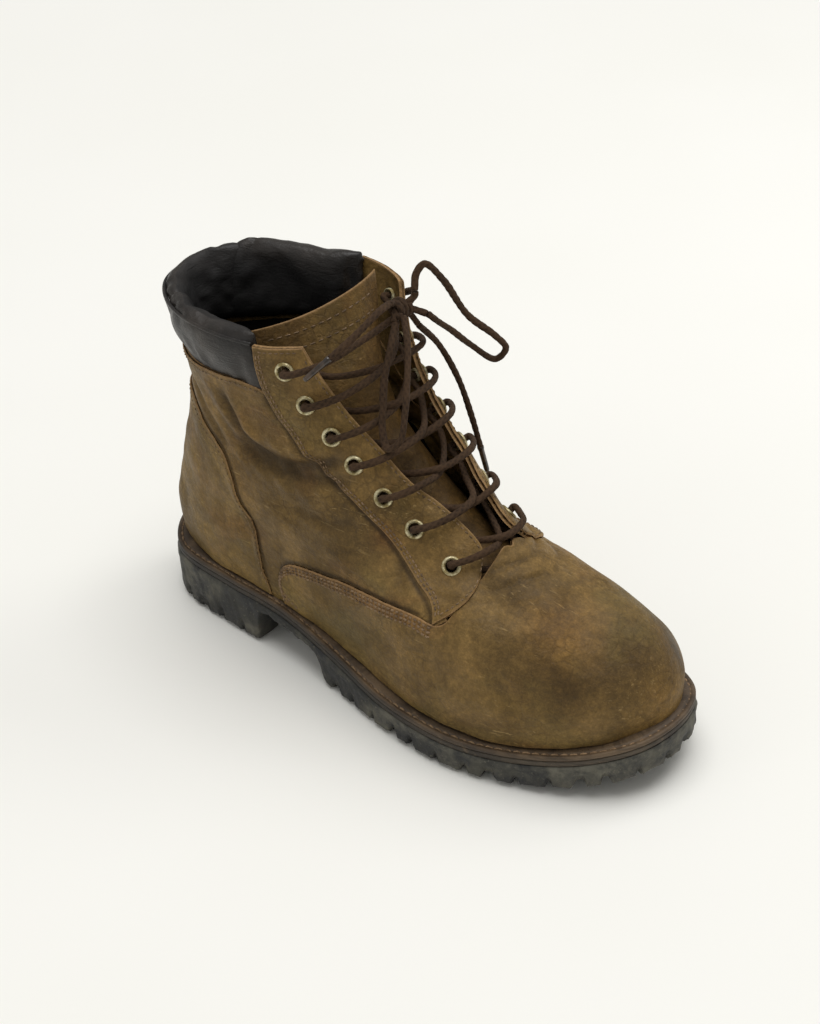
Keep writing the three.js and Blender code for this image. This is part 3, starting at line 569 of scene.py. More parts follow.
# ---------------------------------------------------------------- stitches
# Sections of a thread as (share of its length, girth, height in thread widths): both ends sink in.
STITCH_RINGS = [(-.5, .25, -.45), (-.36, .8, -.05), (0, 1, .22), (.36, .8, -.05), (.5, .25, -.45)]
THREAD_FLATNESS = 0.8


def stitch_row(line, normals, pitch, length, width):
    """Threads lying along a line, each a little turned and of its own length."""
    run = np.concatenate([[0], np.cumsum(np.linalg.norm(np.diff(line, axis=0), axis=1))])
    angles = np.arange(6)[:, None] * math.pi / 3

    def at(values, place_on_run):
        return np.array([np.interp(place_on_run, run, c) for c in values.T])

    parts = []
    for start in np.arange(0.5 * pitch, run[-1] - 0.4 * pitch, pitch):
        centre, ahead, up = at(line, start), at(line, start + 0.5), at(normals, start)
        turn = random.uniform(-.08, .08)
        tangent = (ahead - centre) / (np.linalg.norm(ahead - centre) + 1e-9)
        side = np.cross(up, tangent)
        tangent, side = tangent + turn * side, side - turn * tangent
        reach = length * random.uniform(.92, 1.06)
        circle = 0.5 * width * (np.cos(angles) * side + THREAD_FLATNESS * np.sin(angles) * up)
        parts.append(tube([centre + tangent * share * reach + up * rise * width + girth * circle
                           for share, girth, rise in STITCH_RINGS]))
    return parts


def inset(patch, edge, distance, low=0.0, high=1.0):
    """The (u, v) line that runs at a distance inside one edge of a patch: bottom, top, start or end."""
    run = np.linspace(low, high, 160)

    def at(share):
        share = share if edge in ("bottom", "start") else 1 - share
        return patch(run, share) if edge in ("bottom", "top") else patch(share, run)

    rate = np.linalg.norm(surface(*at(0.03 + 0 * run)) - surface(*at(0 * run)), axis=-1) / 0.03
    return at(np.clip(distance / rate, 0, 0.9))


def sewn(uv, proud, pitch, length, width):
    """A row of stitches on the worn skin along a (u, v) line."""
    return stitch_row(worn_point(*uv, proud), normal_at(*uv), pitch, length, width)


def thread_piece(name, parts, side_tone, stands_for=()):
    """Stitches as one piece, with their own tone along the side and a pale one at the toe."""
    points, faces = merge(parts)
    light = side_tone + (1.25 - side_tone) * smoothstep(points[:, 0], 150, 230)
    return piece(name, points, faces, thread, slot="thread", stands_for=stands_for, tint=in_rgb(light))


# ---------------------------------------------------------------- materials
def colour(*rgb):
    """A screen colour, 0 to 255, as the linear colour a shader wants."""
    shares = [c / 255 for c in rgb]
    return tuple(c / 12.92 if c <= 0.04045 else ((c + 0.055) / 1.055) ** 2.4 for c in shares) + (1.0,)


class Shader:
    """A short way to write a material's nodes. A noise is given as (scale, detail, roughness, distortion,
    stretch, turn), and its features are about 1/scale metres wide."""

    def __init__(self, name):
        self.material = bpy.data.materials.new(name)
        self.material.use_nodes = True
        self.tree = self.material.node_tree
        self.tree.nodes.clear()
        self.place = self.node("TexCoord").outputs["Object"]

    def put(self, socket, value):
        if isinstance(value, bpy.types.NodeSocket):
            self.tree.links.new(value, socket)
        else:
            socket.default_value = value

    def node(self, kind, inputs=(), **settings):
        made = self.tree.nodes.new("ShaderNode" + kind)
        for key, value in settings.items():
            setattr(made, key, value)
        for key, value in dict(inputs).items():
            self.put(made.inputs[key], value)
        return made

    def noise(self, scale, detail=4.0, roughness=0.55, distortion=0.0, stretch=None, turn=(0, 0, 0)):
        vector = self.place
        if stretch:
            vector = self.node("Mapping", {"Vector": vector, "Scale": stretch, "Rotation": turn}).outputs[0]
        return self.node("TexNoise", {"Vector": vector, "Scale": scale, "Detail": detail,
                                      "Roughness": roughness, "Distortion": distortion}).outputs["Fac"]

    def cells(self, scale, feature="F1", bent=0.0):
        """Distances in a cell pattern; bent is how far noise pulls the cells out of shape, in cells."""
        vector = self.place
        if bent:
            inputs = {"Vector": vector, "Scale": scale * .7, "Detail": 3.0}
            pull = self.node("TexNoise", inputs).outputs["Color"]
            vector = self.vector("ADD", vector, self.vector("MULTIPLY", pull, (bent / scale,) * 3))
        inputs = {"Vector": vector, "Scale": scale}
        return self.node("TexVoronoi", inputs, feature=feature).outputs["Distance"]

    def waves(self, scale, distortion, **settings):
        inputs = {"Vector": self.place, "Scale": scale, "Distortion": distortion}
        return self.node("TexWave", inputs, **settings).outputs["Fac"]

    def range(self, value, low, high, to_low=0.0, to_high=1.0):
        made = self.node("MapRange", {0: value, 1: low, 2: high, 3: to_low, 4: to_high})
        made.interpolation_type = "SMOOTHSTEP"
        return made.outputs[0]

    def spots(self, noise, low, high, *to):
        """A noise as a mask that rises between two of its levels."""
        return self.range(self.noise(*noise), low, high, *to)

    def add(self, a, b):
        return self.node("Math", {0: a, 1: b}, operation="ADD").outputs[0]

    def times(self, a, b):
        return self.node("Math", {0: a, 1: b}, operation="MULTIPLY").outputs[0]

    def vector(self, operation, a, b, output=0):
        return self.node("VectorMath", {0: a, 1: b}, operation=operation).outputs[output]

    def mix(self, share, a, b, blend="MIX"):
        made = self.node("Mix", data_type="RGBA", blend_type=blend, clamp_result=False)
        for index, value in ((0, share), (6, a), (7, b)):
            self.put(made.inputs[index], value)
        return made.outputs[2]

    def attribute(self, name, output="Fac"):
        return self.node("Attribute", attribute_name=name).outputs[output]

    def tinted(self, base):
        return self.mix(1.0, base, self.attribute("tint", "Color"), "MULTIPLY")

    def bump(self, height, distance, strength=1.0, normal=None):
        inputs = {"Height": height, "Distance": distance, "Strength": strength}
        if normal is not None:
            inputs["Normal"] = normal
        return self.node("Bump", inputs).outputs["Normal"]

    def finish(self, base, roughness, normal=None, **others):
        inputs = {"Base Color": base, "Roughness": roughness}
        if normal is not None:
            inputs["Normal"] = normal
        inputs.update({key.replace("_", " "): value for key, value in others.items()})
        shader = self.node("BsdfPrincipled", inputs)
        self.node("OutputMaterial", {"Surface": shader.outputs[0]})
        return self.material


# Patches of colour over the leather's two base tones: noise, levels, strength, colour.
LEATHER_PATCHES = [
    ((15, 3, .5, .4), (.50, .68), .45, (110, 95, 52)),
    ((19, 3, .5, .8, (1, 1, 1.3), (.4, .9, 0)), (.56, .72), .35, (128, 88, 46)),
    ((48, 6, .65, .5), (.52, .70), .45, (74, 56, 30)),
]
# Families of scratches: scale, turn, strength.
SCRATCHES = [(34, (.3, .8, .2), .5), (52, (1.2, .2, 1.1), .4), (28, (.1, 2.2, .6), .38)]


def upper_leather():
    """Oiled nubuck: mottled tan and olive, pale scuffs and scratches, painted shade in the creases and beside
    overlapped seams, pale cut edges.
    """
    s = Shader("oiled_nubuck")
    base = s.mix(s.spots((26, 5, .6, .6), .36, .66), colour(100, 78, 41), colour(134, 106, 59))
    for noise, levels, strength, tone in LEATHER_PATCHES:
        base = s.mix(s.times(s.spots(noise, *levels), strength), base, colour(*tone))
    grime = s.times(s.spots((320, 5, .7), .35, .75, .78, 1.18), s.spots((950, 4, .7), .35, .7, .86, 1.14))
    base = s.mix(1.0, base, s.node("CombineColor", {0: grime, 1: grime, 2: grime}).outputs[0], "MULTIPLY")
    wrinkle = s.range(s.cells(150, "DISTANCE_TO_EDGE", .9), 0, .10, 1, 0)
    wrinkle = s.times(wrinkle, s.spots((30, 3), .42, .62, 0, .34))
    base = s.mix(wrinkle, base, colour(70, 54, 32))
    for scale, turn, strength in SCRATCHES:
        streaks = s.spots((scale, 4, .6, .3, (1, 16, 16), turn), .63, .71)
        scratch = s.times(streaks, s.spots((33, 2), .45, .62))
        base = s.mix(s.times(scratch, strength), base, colour(176, 148, 98))
    # painted shade: creases and the lines beside overlapped seams darkened towards dark brown
    base = s.mix(s.times(s.attribute("crease"), .72), s.tinted(base), colour(40, 28, 14))
    fluff = s.times(s.attribute("edge"), s.spots((700, 3), .3, .6, .45, .95))
    base = s.mix(fluff, base, colour(158, 124, 84))
    normal = s.bump(s.add(s.noise(1500, 4, .7), s.times(s.cells(1150), .5)), .00025, .55)
    normal = s.bump(s.noise(210, 5, .62, .5), .0011, .55, normal)
    normal = s.bump(s.noise(70, 3, .5, 1.0, (1, 1, 2.2)), .0016, .5, normal)
    normal = s.bump(wrinkle, -.0006, .6, normal)
    return s.finish(base, s.spots((60, 4, .6), .35, .7, .50, .72), normal, Specular_IOR_Level=.24)


SHAFT_AXIS = (18, 4, 0)  # the upright line that the collar goes round
INSIDE_SHADE_HEIGHT = (.178, .195)  # m: inside the shaft the collar is painted black with shade up to here, and unshaded from there


def collar_leather():
    """Charcoal-brown leather with fine wrinkles and rubbed highlights, with painted shade that turns it black
    inside the shaft.
    """
    s = Shader("collar_leather")
    base = s.mix(s.spots((40, 5, .6, .4), .35, .68), colour(22, 18, 15), colour(43, 37, 32))
    base = s.mix(s.times(s.spots((95, 5, .65), .55, .72), .4), base, colour(74, 67, 61))
    from_axis = s.vector("ADD", s.place, tuple(-c * MM for c in SHAFT_AXIS))
    level = s.vector("MULTIPLY", from_axis, (1, 1, 0))
    facing = s.vector("DOT_PRODUCT", level, s.node("NewGeometry").outputs["Normal"], "Value")
    height = s.node("SeparateXYZ", {0: s.place}).outputs["Z"]
    # painted shade: the collar's inner face is made near black low inside the shaft
    inside = s.times(s.range(facing, -.010, .0, 1, 0), s.range(height, *INSIDE_SHADE_HEIGHT, 1, 0))
    base = s.mix(s.times(inside, .9), base, colour(5, 4, 4))
    roughness = s.add(s.spots((70, 4), .3, .7, .34, .50), s.times(inside, .4))
    normal = s.bump(s.add(s.cells(900), s.noise(1300, 4, .6)), .00016, .4)
    normal = s.bump(s.noise(120, 5, .6, 1.4, (1, 1, 3.2)), .0011, .42, normal)
    return s.finish(base, roughness, normal, Specular_IOR_Level=.42)


def worn_rubber():
    """Black rubber, grey with dust and scuffs, and black in the tread's grooves."""
    s = Shader("worn_rubber")
    dust = s.spots((42, 6, .72, .2), .38, .66)
    base = s.mix(dust, colour(27, 27, 27), colour(106, 103, 91))
    base = s.mix(s.spots((24, 3), .46, .62, 0, .8), base, colour(28, 29, 30))
    base = s.mix(s.spots((620, 4, .7), .58, .72, 0, .5), base, colour(126, 121, 104))
    base = s.mix(s.times(s.attribute("groove"), .8), base, colour(20, 19, 18))
    normal = s.bump(s.noise(150, 5, .65), .0014, .5, s.bump(s.noise(800, 5, .7), .0004, .6))
    return s.finish(base, s.range(dust, 0, 1, .62, .88), normal)


def welt_leather(name, dark, light, line_scale):
    """Stacked, stained edge leather with fine layers along the edge and rubbed spots."""
    s = Shader(name)
    base = s.mix(s.spots((38, 5, .6), .35, .65), colour(*dark), colour(*light))
    layers = s.noise(line_scale, 4, .6, .2, (.05, .05, 1))
    base = s.mix(s.range(layers, .45, .62, 0, .45), base, colour(30, 22, 15))
    base = s.mix(s.spots((150, 5, .7), .56, .72, 0, .6), base, colour(128, 106, 78))
    normal = s.bump(s.add(layers, s.noise(700, 4, .65)), .0005, .6)
    return s.finish(s.tinted(base), .62, normal)


def thread_look():
    s = Shader("waxed_thread")
    base = s.mix(s.spots((240, 4, .6), .35, .65), colour(100, 79, 56), colour(158, 129, 97))
    return s.finish(s.tinted(base), .75, s.bump(s.waves(520.0, 2.0), .0002, .8))


def lace_look():
    """Round braided cord, dark brown, rubbed pale on the outside of the braid."""
    s = Shader("braided_cord")
    base = s.mix(s.spots((70, 5, .6), .35, .68), colour(30, 20, 13), colour(56, 40, 27))
    base = s.mix(s.times(s.attribute("braid"), .42), base, colour(92, 70, 50))
    base = s.mix(s.spots((1900, 4, .75), .55, .75, 0, .45), base, colour(112, 92, 70))
    return s.finish(base, .86, s.bump(s.noise(2600, 3, .7), .0002, .7), Specular_IOR_Level=.2)


def metal_look(name, dark, light, scale, roughness, metallic):
    s = Shader(name)
    patina = s.spots((scale, 5, .65), .38, .66)
    normal = s.bump(s.noise(1400, 4, .7), .0001, .5)
    return s.finish(s.mix(patina, colour(*dark), colour(*light)), s.range(patina, 0, 1, *roughness), normal,
                    Metallic=metallic)


def fabric_look(name, dark, light, threads):
    """A plain woven or felted lining, drawn by two crossing waves."""
    s = Shader(name)
    base = s.mix(s.spots((55, 5, .6), .35, .65), colour(*dark), colour(*light))
    weave = s.times(*(s.waves(threads, 1.5, bands_direction=axis) for axis in "XZ"))
    base = s.mix(s.times(weave, .3), base, colour(*light))
    return s.finish(base, .95, s.bump(weave, .0003, .5), Specular_IOR_Level=.1)


def plastic_look():
    s = Shader("aglet_plastic")
    base = s.mix(s.spots((300, 4), .4, .65), colour(34, 25, 18), colour(74, 60, 48))
    return s.finish(base, .28, s.bump(s.noise(900, 3), .0001, .4), Coat_Weight=.4)


leather = upper_leather()
charcoal = collar_leather()
rubber = worn_rubber()
welt_look = welt_leather("welt_leather", (68, 53, 37), (102, 83, 60), 900.0)
midsole_look = welt_leather("midsole_edge", (50, 42, 33), (82, 71, 56), 1500.0)
thread = thread_look()
cord = lace_look()
brass = metal_look("antique_brass", (140, 124, 78), (222, 212, 174), 260.0, (.40, .28), .45)
steel = metal_look("brushed_steel", (96, 98, 102), (170, 172, 176), 120.0, (.45, .28), 1.0)
aglet = plastic_look()
lining_look = fabric_look("dark_lining", (9, 7, 6), (20, 16, 13), 900.0)
foam_look = fabric_look("footbed_foam", (14, 12, 11), (30, 26, 23), 700.0)
board_look = fabric_look("fibre_board", (120, 96, 66), (160, 134, 96), 260.0)
cork_look = fabric_look("pressed_cork", (118, 80, 48), (178, 132, 86), 180.0)


# ---------------------------------------------------------------- sole unit
LUG_PITCH, LUG_GROOVE, LUG_LENGTH, LUG_HEIGHT = 14.5, 4.0, 16, 5.2
HEEL_NOTCH = 3.4  # how deep the grooves between the heel's lugs are at its edge
CHANNEL = 3.6  # width of the groove that runs round inside the outer lugs
outline = smooth_line([(x, y, 0) for x, y in SOLE_OUTLINE], 1.0, closed=True)[:-1]
coarse_outline = walk(np.vstack([outline, outline[:1]]), 5)


def inset_outline(margin):
    """The sole's outline moved inwards, and its inward normals."""
    tangent = np.roll(outline, -1, 0) - np.roll(outline, 1, 0)
    tangent /= np.linalg.norm(tangent, axis=1, keepdims=True)
    inward = np.stack([tangent[:, 1], -tangent[:, 0], 0 * tangent[:, 0]], 1)
    return outline + margin * inward, inward


def plan_grid(margin, ribs, rows):
    """Points over the sole's plan, in ribs across the foot that crowd together at the heel and toe."""
    ring = inset_outline(margin)[0]
    heel, toe = ring[:, 0].argmin(), ring[:, 0].argmax()
    ring, toe = np.roll(ring, -heel, 0), (toe - heel) % len(ring)
    halves = np.vstack([ring[toe:], ring[:1]])[::-1], ring[:toe + 1]  # lateral, medial
    x = ring[0, 0] + (ring[toe, 0] - ring[0, 0]) * (1 - np.cos(np.linspace(0, math.pi, ribs + 1))) / 2
    low, high = (np.interp(x, *half[np.argsort(half[:, 0])][:, :2].T)[:, None] for half in halves)
    y = low + (high - low) * np.linspace(0, 1, rows + 1)
    return np.stack([np.repeat(x, rows + 1), y.ravel(), 0 * y.ravel()], 1)


def plan_solid(margin, top, bottom, ribs, rows, wall_rows, wall_shape):
    """A solid over the sole's plan, between two functions of x, y, the distance from the sole's edge and
    how far round the sole that is. Its wall is pushed outwards by a function of the share down it, x and
    the way round."""
    flat = plan_grid(margin, ribs, rows)
    edge, run = distance_to(flat, coarse_outline)
    run *= len(outline)
    top_z, bottom_z = (level(flat[:, 0], flat[:, 1], edge, run) for level in (top, bottom))
    size, n = rows + 1, len(flat)
    rim = np.concatenate([np.arange(ribs + 1) * size, np.arange(ribs, -1, -1) * size + rows])
    loop = flat[rim]
    tangent = np.roll(loop, -2, 0) - np.roll(loop, 2, 0)
    out = np.stack([tangent[:, 1], -tangent[:, 0], 0 * tangent[:, 0]], 1)
    out /= np.linalg.norm(out, axis=1, keepdims=True) + 1e-9
    out *= np.sign(((loop - loop.mean(0)) * out).sum(1)).mean()
    layers = [np.column_stack([flat[:, :2], z]) for z in (top_z, bottom_z)]
    ids = [rim]
    for share in np.arange(1, wall_rows) / wall_rows:
        z = top_z[rim] + (bottom_z[rim] - top_z[rim]) * share
        ids.append(sum(len(layer) for layer in layers) + np.arange(len(rim)))
        push = wall_shape(share, loop[:, 0], run[rim])[:, None]
        layers.append(np.column_stack([loop[:, :2], z]) + out * push)
    ids.append(rim + n)
    faces = [grid_faces(ribs + 1, size, flip=True), grid_faces(ribs + 1, size, n)]
    faces += [np.stack([a, b, np.roll(b, -1), np.roll(a, -1)], 1) for a, b in zip(ids[:-1], ids[1:])]
    return np.vstack(layers), np.vstack(faces)


def grooves(value, pitch, width, soft=0.9):
    """1 in the middle of a groove repeated at a pitch, 0 on the lugs."""
    away = np.abs((value / pitch) % 1 - 0.5) * pitch
    return 1 - smoothstep(away, width / 2 - soft, width / 2 + soft)


def lone_groove(value, width):
    """The same for one groove, where the value is 0."""
    return grooves(value + 500, 1000, width)


def uneven(run):
    """The way round the sole, stretched and squeezed a little, so that no two lugs are alike."""
    return run + 1.6 * np.sin(run * .31)


def arch_share(x, ramp):
    """1 under the arch, 0 at the heel block and under the forefoot."""
    return smoothstep(x, HEEL_BREAST, HEEL_BREAST + ramp) * (1 - smoothstep(x, TREAD_START - 9, TREAD_START))


def heel_share(x):
    return 1 - smoothstep(x, HEEL_BREAST, TREAD_START)


def ground(x):
    """Level of the lugs' faces, which rises under the toe."""
    return TREAD_TOE_LIFT * toe_share(x) ** 2


def tread_share(x, y, edge, run):
    """How deep in a groove a point of the underside is, from 0 to 1."""
    outer_lugs = grooves(uneven(run), LUG_PITCH, LUG_GROOVE) * (edge < LUG_LENGTH)
    channel = lone_groove(edge - LUG_LENGTH - CHANNEL / 2, CHANNEL)
    chevrons = grooves(x + 0.45 * np.abs(y - 2), LUG_PITCH * 1.15, 5) * (edge >= LUG_LENGTH)
    zigzag = lone_groove(y - 2 + 8 * np.abs((x / 33) % 1 - .5), 3.2) * (edge >= LUG_LENGTH)
    return np.clip(np.maximum.reduce([outer_lugs, channel, chevrons, zigzag]), 0, 1)


def underside(x, y, edge, run):
    arch = sole_level(x) - ARCH_THICKNESS + 0.5 * grooves(x, 6, 2, .6)
    in_arch = arch_share(x, 3.5)
    height = LUG_HEIGHT * (1 - 0.25 * smoothstep(x, 235, 262)) * (1 + 0.22 * np.sin(run * .083)
                                                                  * np.sin(run * .031 + 1))
    height -= (LUG_HEIGHT - HEEL_NOTCH) * heel_share(x)
    tread = ground(x) + height * tread_share(x, y, edge, run)
    lobes = 0.45 * (1 - np.cos(2 * math.pi * uneven(run) / LUG_PITCH))
    worn = (1.2 + 1.1 * (1 - lobes)) * (1 - smoothstep(edge, 0, 2.6))
    worn += 0.35 * np.sin(x * .37 + y * .21) * np.sin(y * .3 - x * .11)
    return tread * (1 - in_arch) + arch * in_arch + np.maximum(worn, 0)


def sole_wall(share, x, run):
    notch = grooves(uneven(run), LUG_PITCH, LUG_GROOVE + 1)
    at_heel = heel_share(x)
    lower = smoothstep(share, .55 + .2 * at_heel, .9) * (1 - arch_share(x, 4))
    ledge = 0.6 * (smoothstep(share, 0, .06) - smoothstep(share, .18, .26))
    rough = 0.2 * np.sin(run * .9 + 6 * share) * np.sin(run * .23)
    return ledge + 0.5 * math.sin(math.pi * share) + rough + (0.4 - (1.0 + .7 * at_heel) * notch) * lower


def outsole():
    points, faces = plan_solid(0, lambda x, *_: sole_level(x), underside, 440, 92, 12, sole_wall)
    edge, run = distance_to(points * (1, 1, 0), coarse_outline)
    x, y, z = points.T
    deep = tread_share(x, y, edge, run * len(outline)) * (z < ground(x) + LUG_HEIGHT) * (edge > 1.5)
    weld(piece("rubber_outsole", points, faces, rubber, slot="rubber", stands_for=["outsole"], groove=deep))


def band(name, section, material, slot, node):
    """A band round the sole whose section is given as (margin from the edge, height over the rubber).
    Its side is dark at the heel and paler towards the toe, and its top is pale."""
    section = np.asarray(section)
    inward = inset_outline(0)[1]
    rings = [np.column_stack([p[:2] + n[:2] * section[:, :1], sole_level(p[0]) + section[:, 1]])
             for p, n in zip(outline[::2], inward[::2])]
    points, faces = tube(rings, closed=True)
    tone = 0.4 + 0.6 * smoothstep(points[:, 0], 110, 235)
    on_top = smoothstep(section[:, 0], .1, .8) * (section[:, 1] > section[:, 1].max() - 1)
    tone += np.tile(on_top, len(rings)) * (1.05 - tone)
    piece(name, points, faces, material, slot=slot, stands_for=[node], tint=in_rgb(tone))


WELT_STITCH = (4.6, 4.1, 1.15)  # pitch, length and width of the threads
WELT_STITCH_MARGIN = 2.6


def sole_unit():
    outsole()
    low, high = LAYER_GAP - .2, LAYER_GAP + MIDSOLE
    section = [(0.7, low), (0.2, low + .3), (0.05, low + 1.5), (0.2, high - .3), (0.7, high), (7, high),
               (14, high), (14, low), (7, low), (0.7, low)]
    band("midsole_band", smooth_line(section, 0.5)[:-1], midsole_look, "midsole", "midsole")
    low, high = high + .2, WELT_TOP
    section = [(0.5, low), (0, low + .4), (-.05, low + 1.1), (0, high - .5), (0.4, high - .05), (0.9, high),
               (1.8, high - .05), (2.2, high - .45), (3.0, high - .45), (3.4, high - .05), (4, high),
               (5, high), (9, high), (14, high), (14, low), (9, low), (5, low)]
    band("welt_band", section, welt_look, "welt", "welt")
    line = inset_outline(WELT_STITCH_MARGIN)[0]
    line = np.vstack([line, line[:1]])
    line[:, 2] = sole_level(line[:, 0]) + WELT_TOP - .15
    up = np.tile([0.0, 0.0, 1.0], (len(line), 1))
    thread_piece("welt_thread", stitch_row(line, up, *WELT_STITCH), .85, ["welt_stitching"])


def footbed():
    """The foam footbed, cupped up round the heel and along both sides."""
    base, margin = WELT_TOP + 2 * LAYER_GAP + 2.2, 16

    def top(x, y, edge, run):
        cup = 3.5 * (1 - smoothstep(edge, margin, margin + 12))
        return sole_level(x) + base + 3 + cup - 0.6 * (1 - smoothstep(edge, margin, margin + 1.5))

    points, faces = plan_solid(margin, top, lambda x, *_: sole_level(x) + base, 120, 28, 2,
                               lambda share, x, run: 0.2 + 0 * x)
    weld(piece("cupped_footbed", points, faces, foam_look, slot="foam", stands_for=["footbed"]))


# ---------------------------------------------------------------- upper
VAMP_FOOT = [55, 57, 62, 72, 92, 120, 150, 190, 235]  # x of the vamp's grid lines at the welt
THROAT_CURVE = [(161, 73), (166, 84), (169, 96)]  # from the front of the wing to the throat
WING_END = 6 / 18  # share of the vamp's top line that belongs to one wing
SEWN_BAND, SEWN_TONE = 6.2, (1.12, 1.03, 1.12)  # width and colour of the band under the wing's stitches
WING_STITCH = (2.7, 2.3, 1.3)
COLLAR_SHARE = 4 / 9  # share of a quarter's top line that runs along the collar


def over_toe(lateral, front, medial):
    return np.vstack([lateral + (16, 0), [front], medial[::-1]])


def back_v(z):
    """v of a height on the back of the upper."""
    return place(LATERAL, [(-15, z)])[0, 1]


def stitched(patch, rows):
    """Threads of rows given as (edge, distance from it, start and end share, proud, pitch, length, width)."""
    parts = []
    for edge, distance, low, high, *how in rows:
        parts += sewn(inset(patch, edge, distance, low, high), *how)
    return parts


def vamp():
    high = WING + THROAT_CURVE
    throat = bisect(0, 1, lambda m: hermite(RIDGE_ROWS, m)[..., 0] > THROAT - 2, (1,))[0]
    patch = ladder(over_toe(on_feather(LATERAL, VAMP_FOOT), (16, FEATHER), on_feather(MEDIAL, VAMP_FOOT)),
                   over_toe(place(LATERAL, high), (16, throat), place(MEDIAL, high)))

    def on_wing(s):
        return 1 - smoothstep(np.minimum(s, 1 - s), WING_END - .03, WING_END + .02)

    def proud(s, to_rim):
        return OVERLAP * on_wing(s) * (1 - smoothstep(to_rim, 9, 24))

    def tone(s, to_rim):
        sewn_band = on_wing(s) * (1 - smoothstep(to_rim, SEWN_BAND - .6, SEWN_BAND + .6))
        return 1 + sewn_band[..., None] * (np.array(SEWN_TONE) - 1)

    panel("vamp_leather", "vamp", patch, proud, leather, tone=tone)
    rows = []
    for distance in (1.5, 3.3, 5.1):
        rows += [("top", distance, low, high, OVERLAP, *WING_STITCH)
                 for low, high in ((.012, WING_END - .01), (1 - WING_END + .01, .988))]
        rows += [(end, distance, .12, .93 - distance / 60, OVERLAP * .9, *WING_STITCH)
                 for end in ("start", "end")]
    thread_piece("vamp_stitching", stitched(patch, rows), .88)


def quarter(side, name):
    seam = moved([POCKET_SEAM[3], POCKET_SEAM[2], POCKET_SEAM[1]], -6, -5)
    low = np.vstack([[(8, back_v(POCKET_TOP - 6))], place(side, seam), on_feather(side, [40, 60]),
                     place(side, moved([WING[i] for i in (1, 3, 4, 5)], 3, -8))])
    edge = moved(COLLAR_EDGE, 1, 1)
    rear = moved([EYESTAY_REAR[i] for i in (5, 4, 3, 2, 0)], 6, 3)
    high = np.vstack([[(8, back_v(edge[0][1]))], place(side, edge[1:]), place(side, rear)])
    patch = ladder(low, high)
    panel("quarter_leather_" + name, "quarter_" + name, patch, 0.0, leather)
    parts = stitched(patch, [("top", 2.2, .01, COLLAR_SHARE - .03, 0.0, 3.1, 2.5, .75)])
    thread_piece("quarter_stitching_" + name, parts, .75)


def both_sides(points, back):
    """A line from the lateral side round the back to the medial side, from a function of the side."""
    return np.vstack([points(LATERAL), [(8, back)], points(MEDIAL)[::-1]])


def heel_pocket():
    patch = ladder(both_sides(lambda side: on_feather(side, [46, 37, 18, -10, -32]), FEATHER),
                   both_sides(lambda side: place(side, POCKET_SEAM), back_v(POCKET_TOP)))

    def proud(s, to_rim):
        return 0.1 + (OVERLAP - .3) * (1 - smoothstep(to_rim, 5, 17))

    panel("heel_pocket_leather", "heel_pocket", patch, proud, leather, tone=(1.07, 1.10, 1.02))
    parts = stitched(patch, [("top", 3.4, .01, .99, OVERLAP - .2, 3.0, 2.3, .65)])
    thread_piece("pocket_stitching", parts, .8)


def punch(made, centres, axes, radius):
    """Cuts round holes with Blender's boolean."""
    angles = np.linspace(0, 2 * math.pi, 24, endpoint=False)
    pins = [tube([centre + axis * h + radius * circle_round(axis, angles) for h in (-9, 0, 9)])
            for centre, axis in zip(centres, axes)]
    cutter = piece("cutter", *merge(pins), leather, body=None)
    step = made.modifiers.new("holes", "BOOLEAN")
    step.operation = "DIFFERENCE"
    step.solver = "EXACT"
    step.object = cutter
    apply_modifiers(made)
    bpy.data.objects.remove(cutter)


def eyelet(centre, axis):
    """A barrel with a rolled flange, the flange drawn as a half round, turned about an axis."""
    seat, crown, foot = OVERLAY + .15, OVERLAY + 1.25, -LEATHER - .4
    middle, roll = (EYELET_BORE + EYELET_FLANGE) / 2, (EYELET_FLANGE - EYELET_BORE) / 2
    arc = [(middle - roll * math.cos(a), seat + (crown - seat) * math.sin(a))
           for a in np.linspace(0, math.pi, 11)]
    profile = np.array([(EYELET_BORE, foot), *arc, (EYELET_FLANGE - .3, seat - .25),
                        (EYELET_BARREL, seat - .25), (EYELET_BARREL, foot)])
    arms = circle_round(axis, np.linspace(0, 2 * math.pi, 28, endpoint=False))
    return tube([centre + profile[:, :1] * arm + profile[:, 1:] * axis for arm in arms], closed=True)


def eyestay(side, name):
    rear, front = ([corner] for corner in EYESTAY_TOPS[side])
    patch = ladder(place(side, EYESTAY_REAR + rear), place(side, EYESTAY_FRONT + front))
    made = panel("eyestay_leather_" + name, "eyestay_" + name, patch, OVERLAY, leather,
                 thickness=EYESTAY_LEATHER, tone=(1.04, 1.03, 1.0))
    spots = place(side, EYELETS[side]).T
    centres, axes = worn_point(*spots, 0.0), normal_at(*spots)
    punch(made, centres, axes, EYELET_BARREL + .1)
    for i, (centre, axis) in enumerate(zip(centres, axes), 1):
        node = f"eyelet_{name}_{i}"
        piece("rolled_" + node, *eyelet(centre, axis), brass, slot="eyelet_brass", stands_for=[node])
    rows = [("bottom", distance, .02, .985, OVERLAY, 2.6, 2.3, .95) for distance in (1.7, 3.4)]
    rows += [(edge, distance, low, high, OVERLAY, 2.9, 2.3, .7) for edge, distance, low, high in
             (("top", 2.0, .02, .975), ("start", 2.2, .1, .9), ("end", 2.2, .1, .9))]
    thread_piece("eyestay_stitching_" + name, stitched(patch, rows), .8)


def lining(side, name):
    """The smooth lining inside a quarter, seen down the shaft."""
    depth = LEATHER + 3
    low = np.vstack([[(8 + side * .1, FEATHER)], on_feather(side, [-10, 25, 50]),
                     place(side, [(58, 58), (76, 76), (105, 81), (140, 80)])])
    top = [(-5, 150), (20, 153), (42, 153), (57, 142), (72, 128), (98, 111), (137, 86)]
    high = np.vstack([[(8 + side * .06, back_v(149))], place(side, top)])
    panel("shaft_lining_" + name, "quarter_lining_" + name, ladder(low, high), -depth, lining_look, "lining",
          thickness=depth + 1)


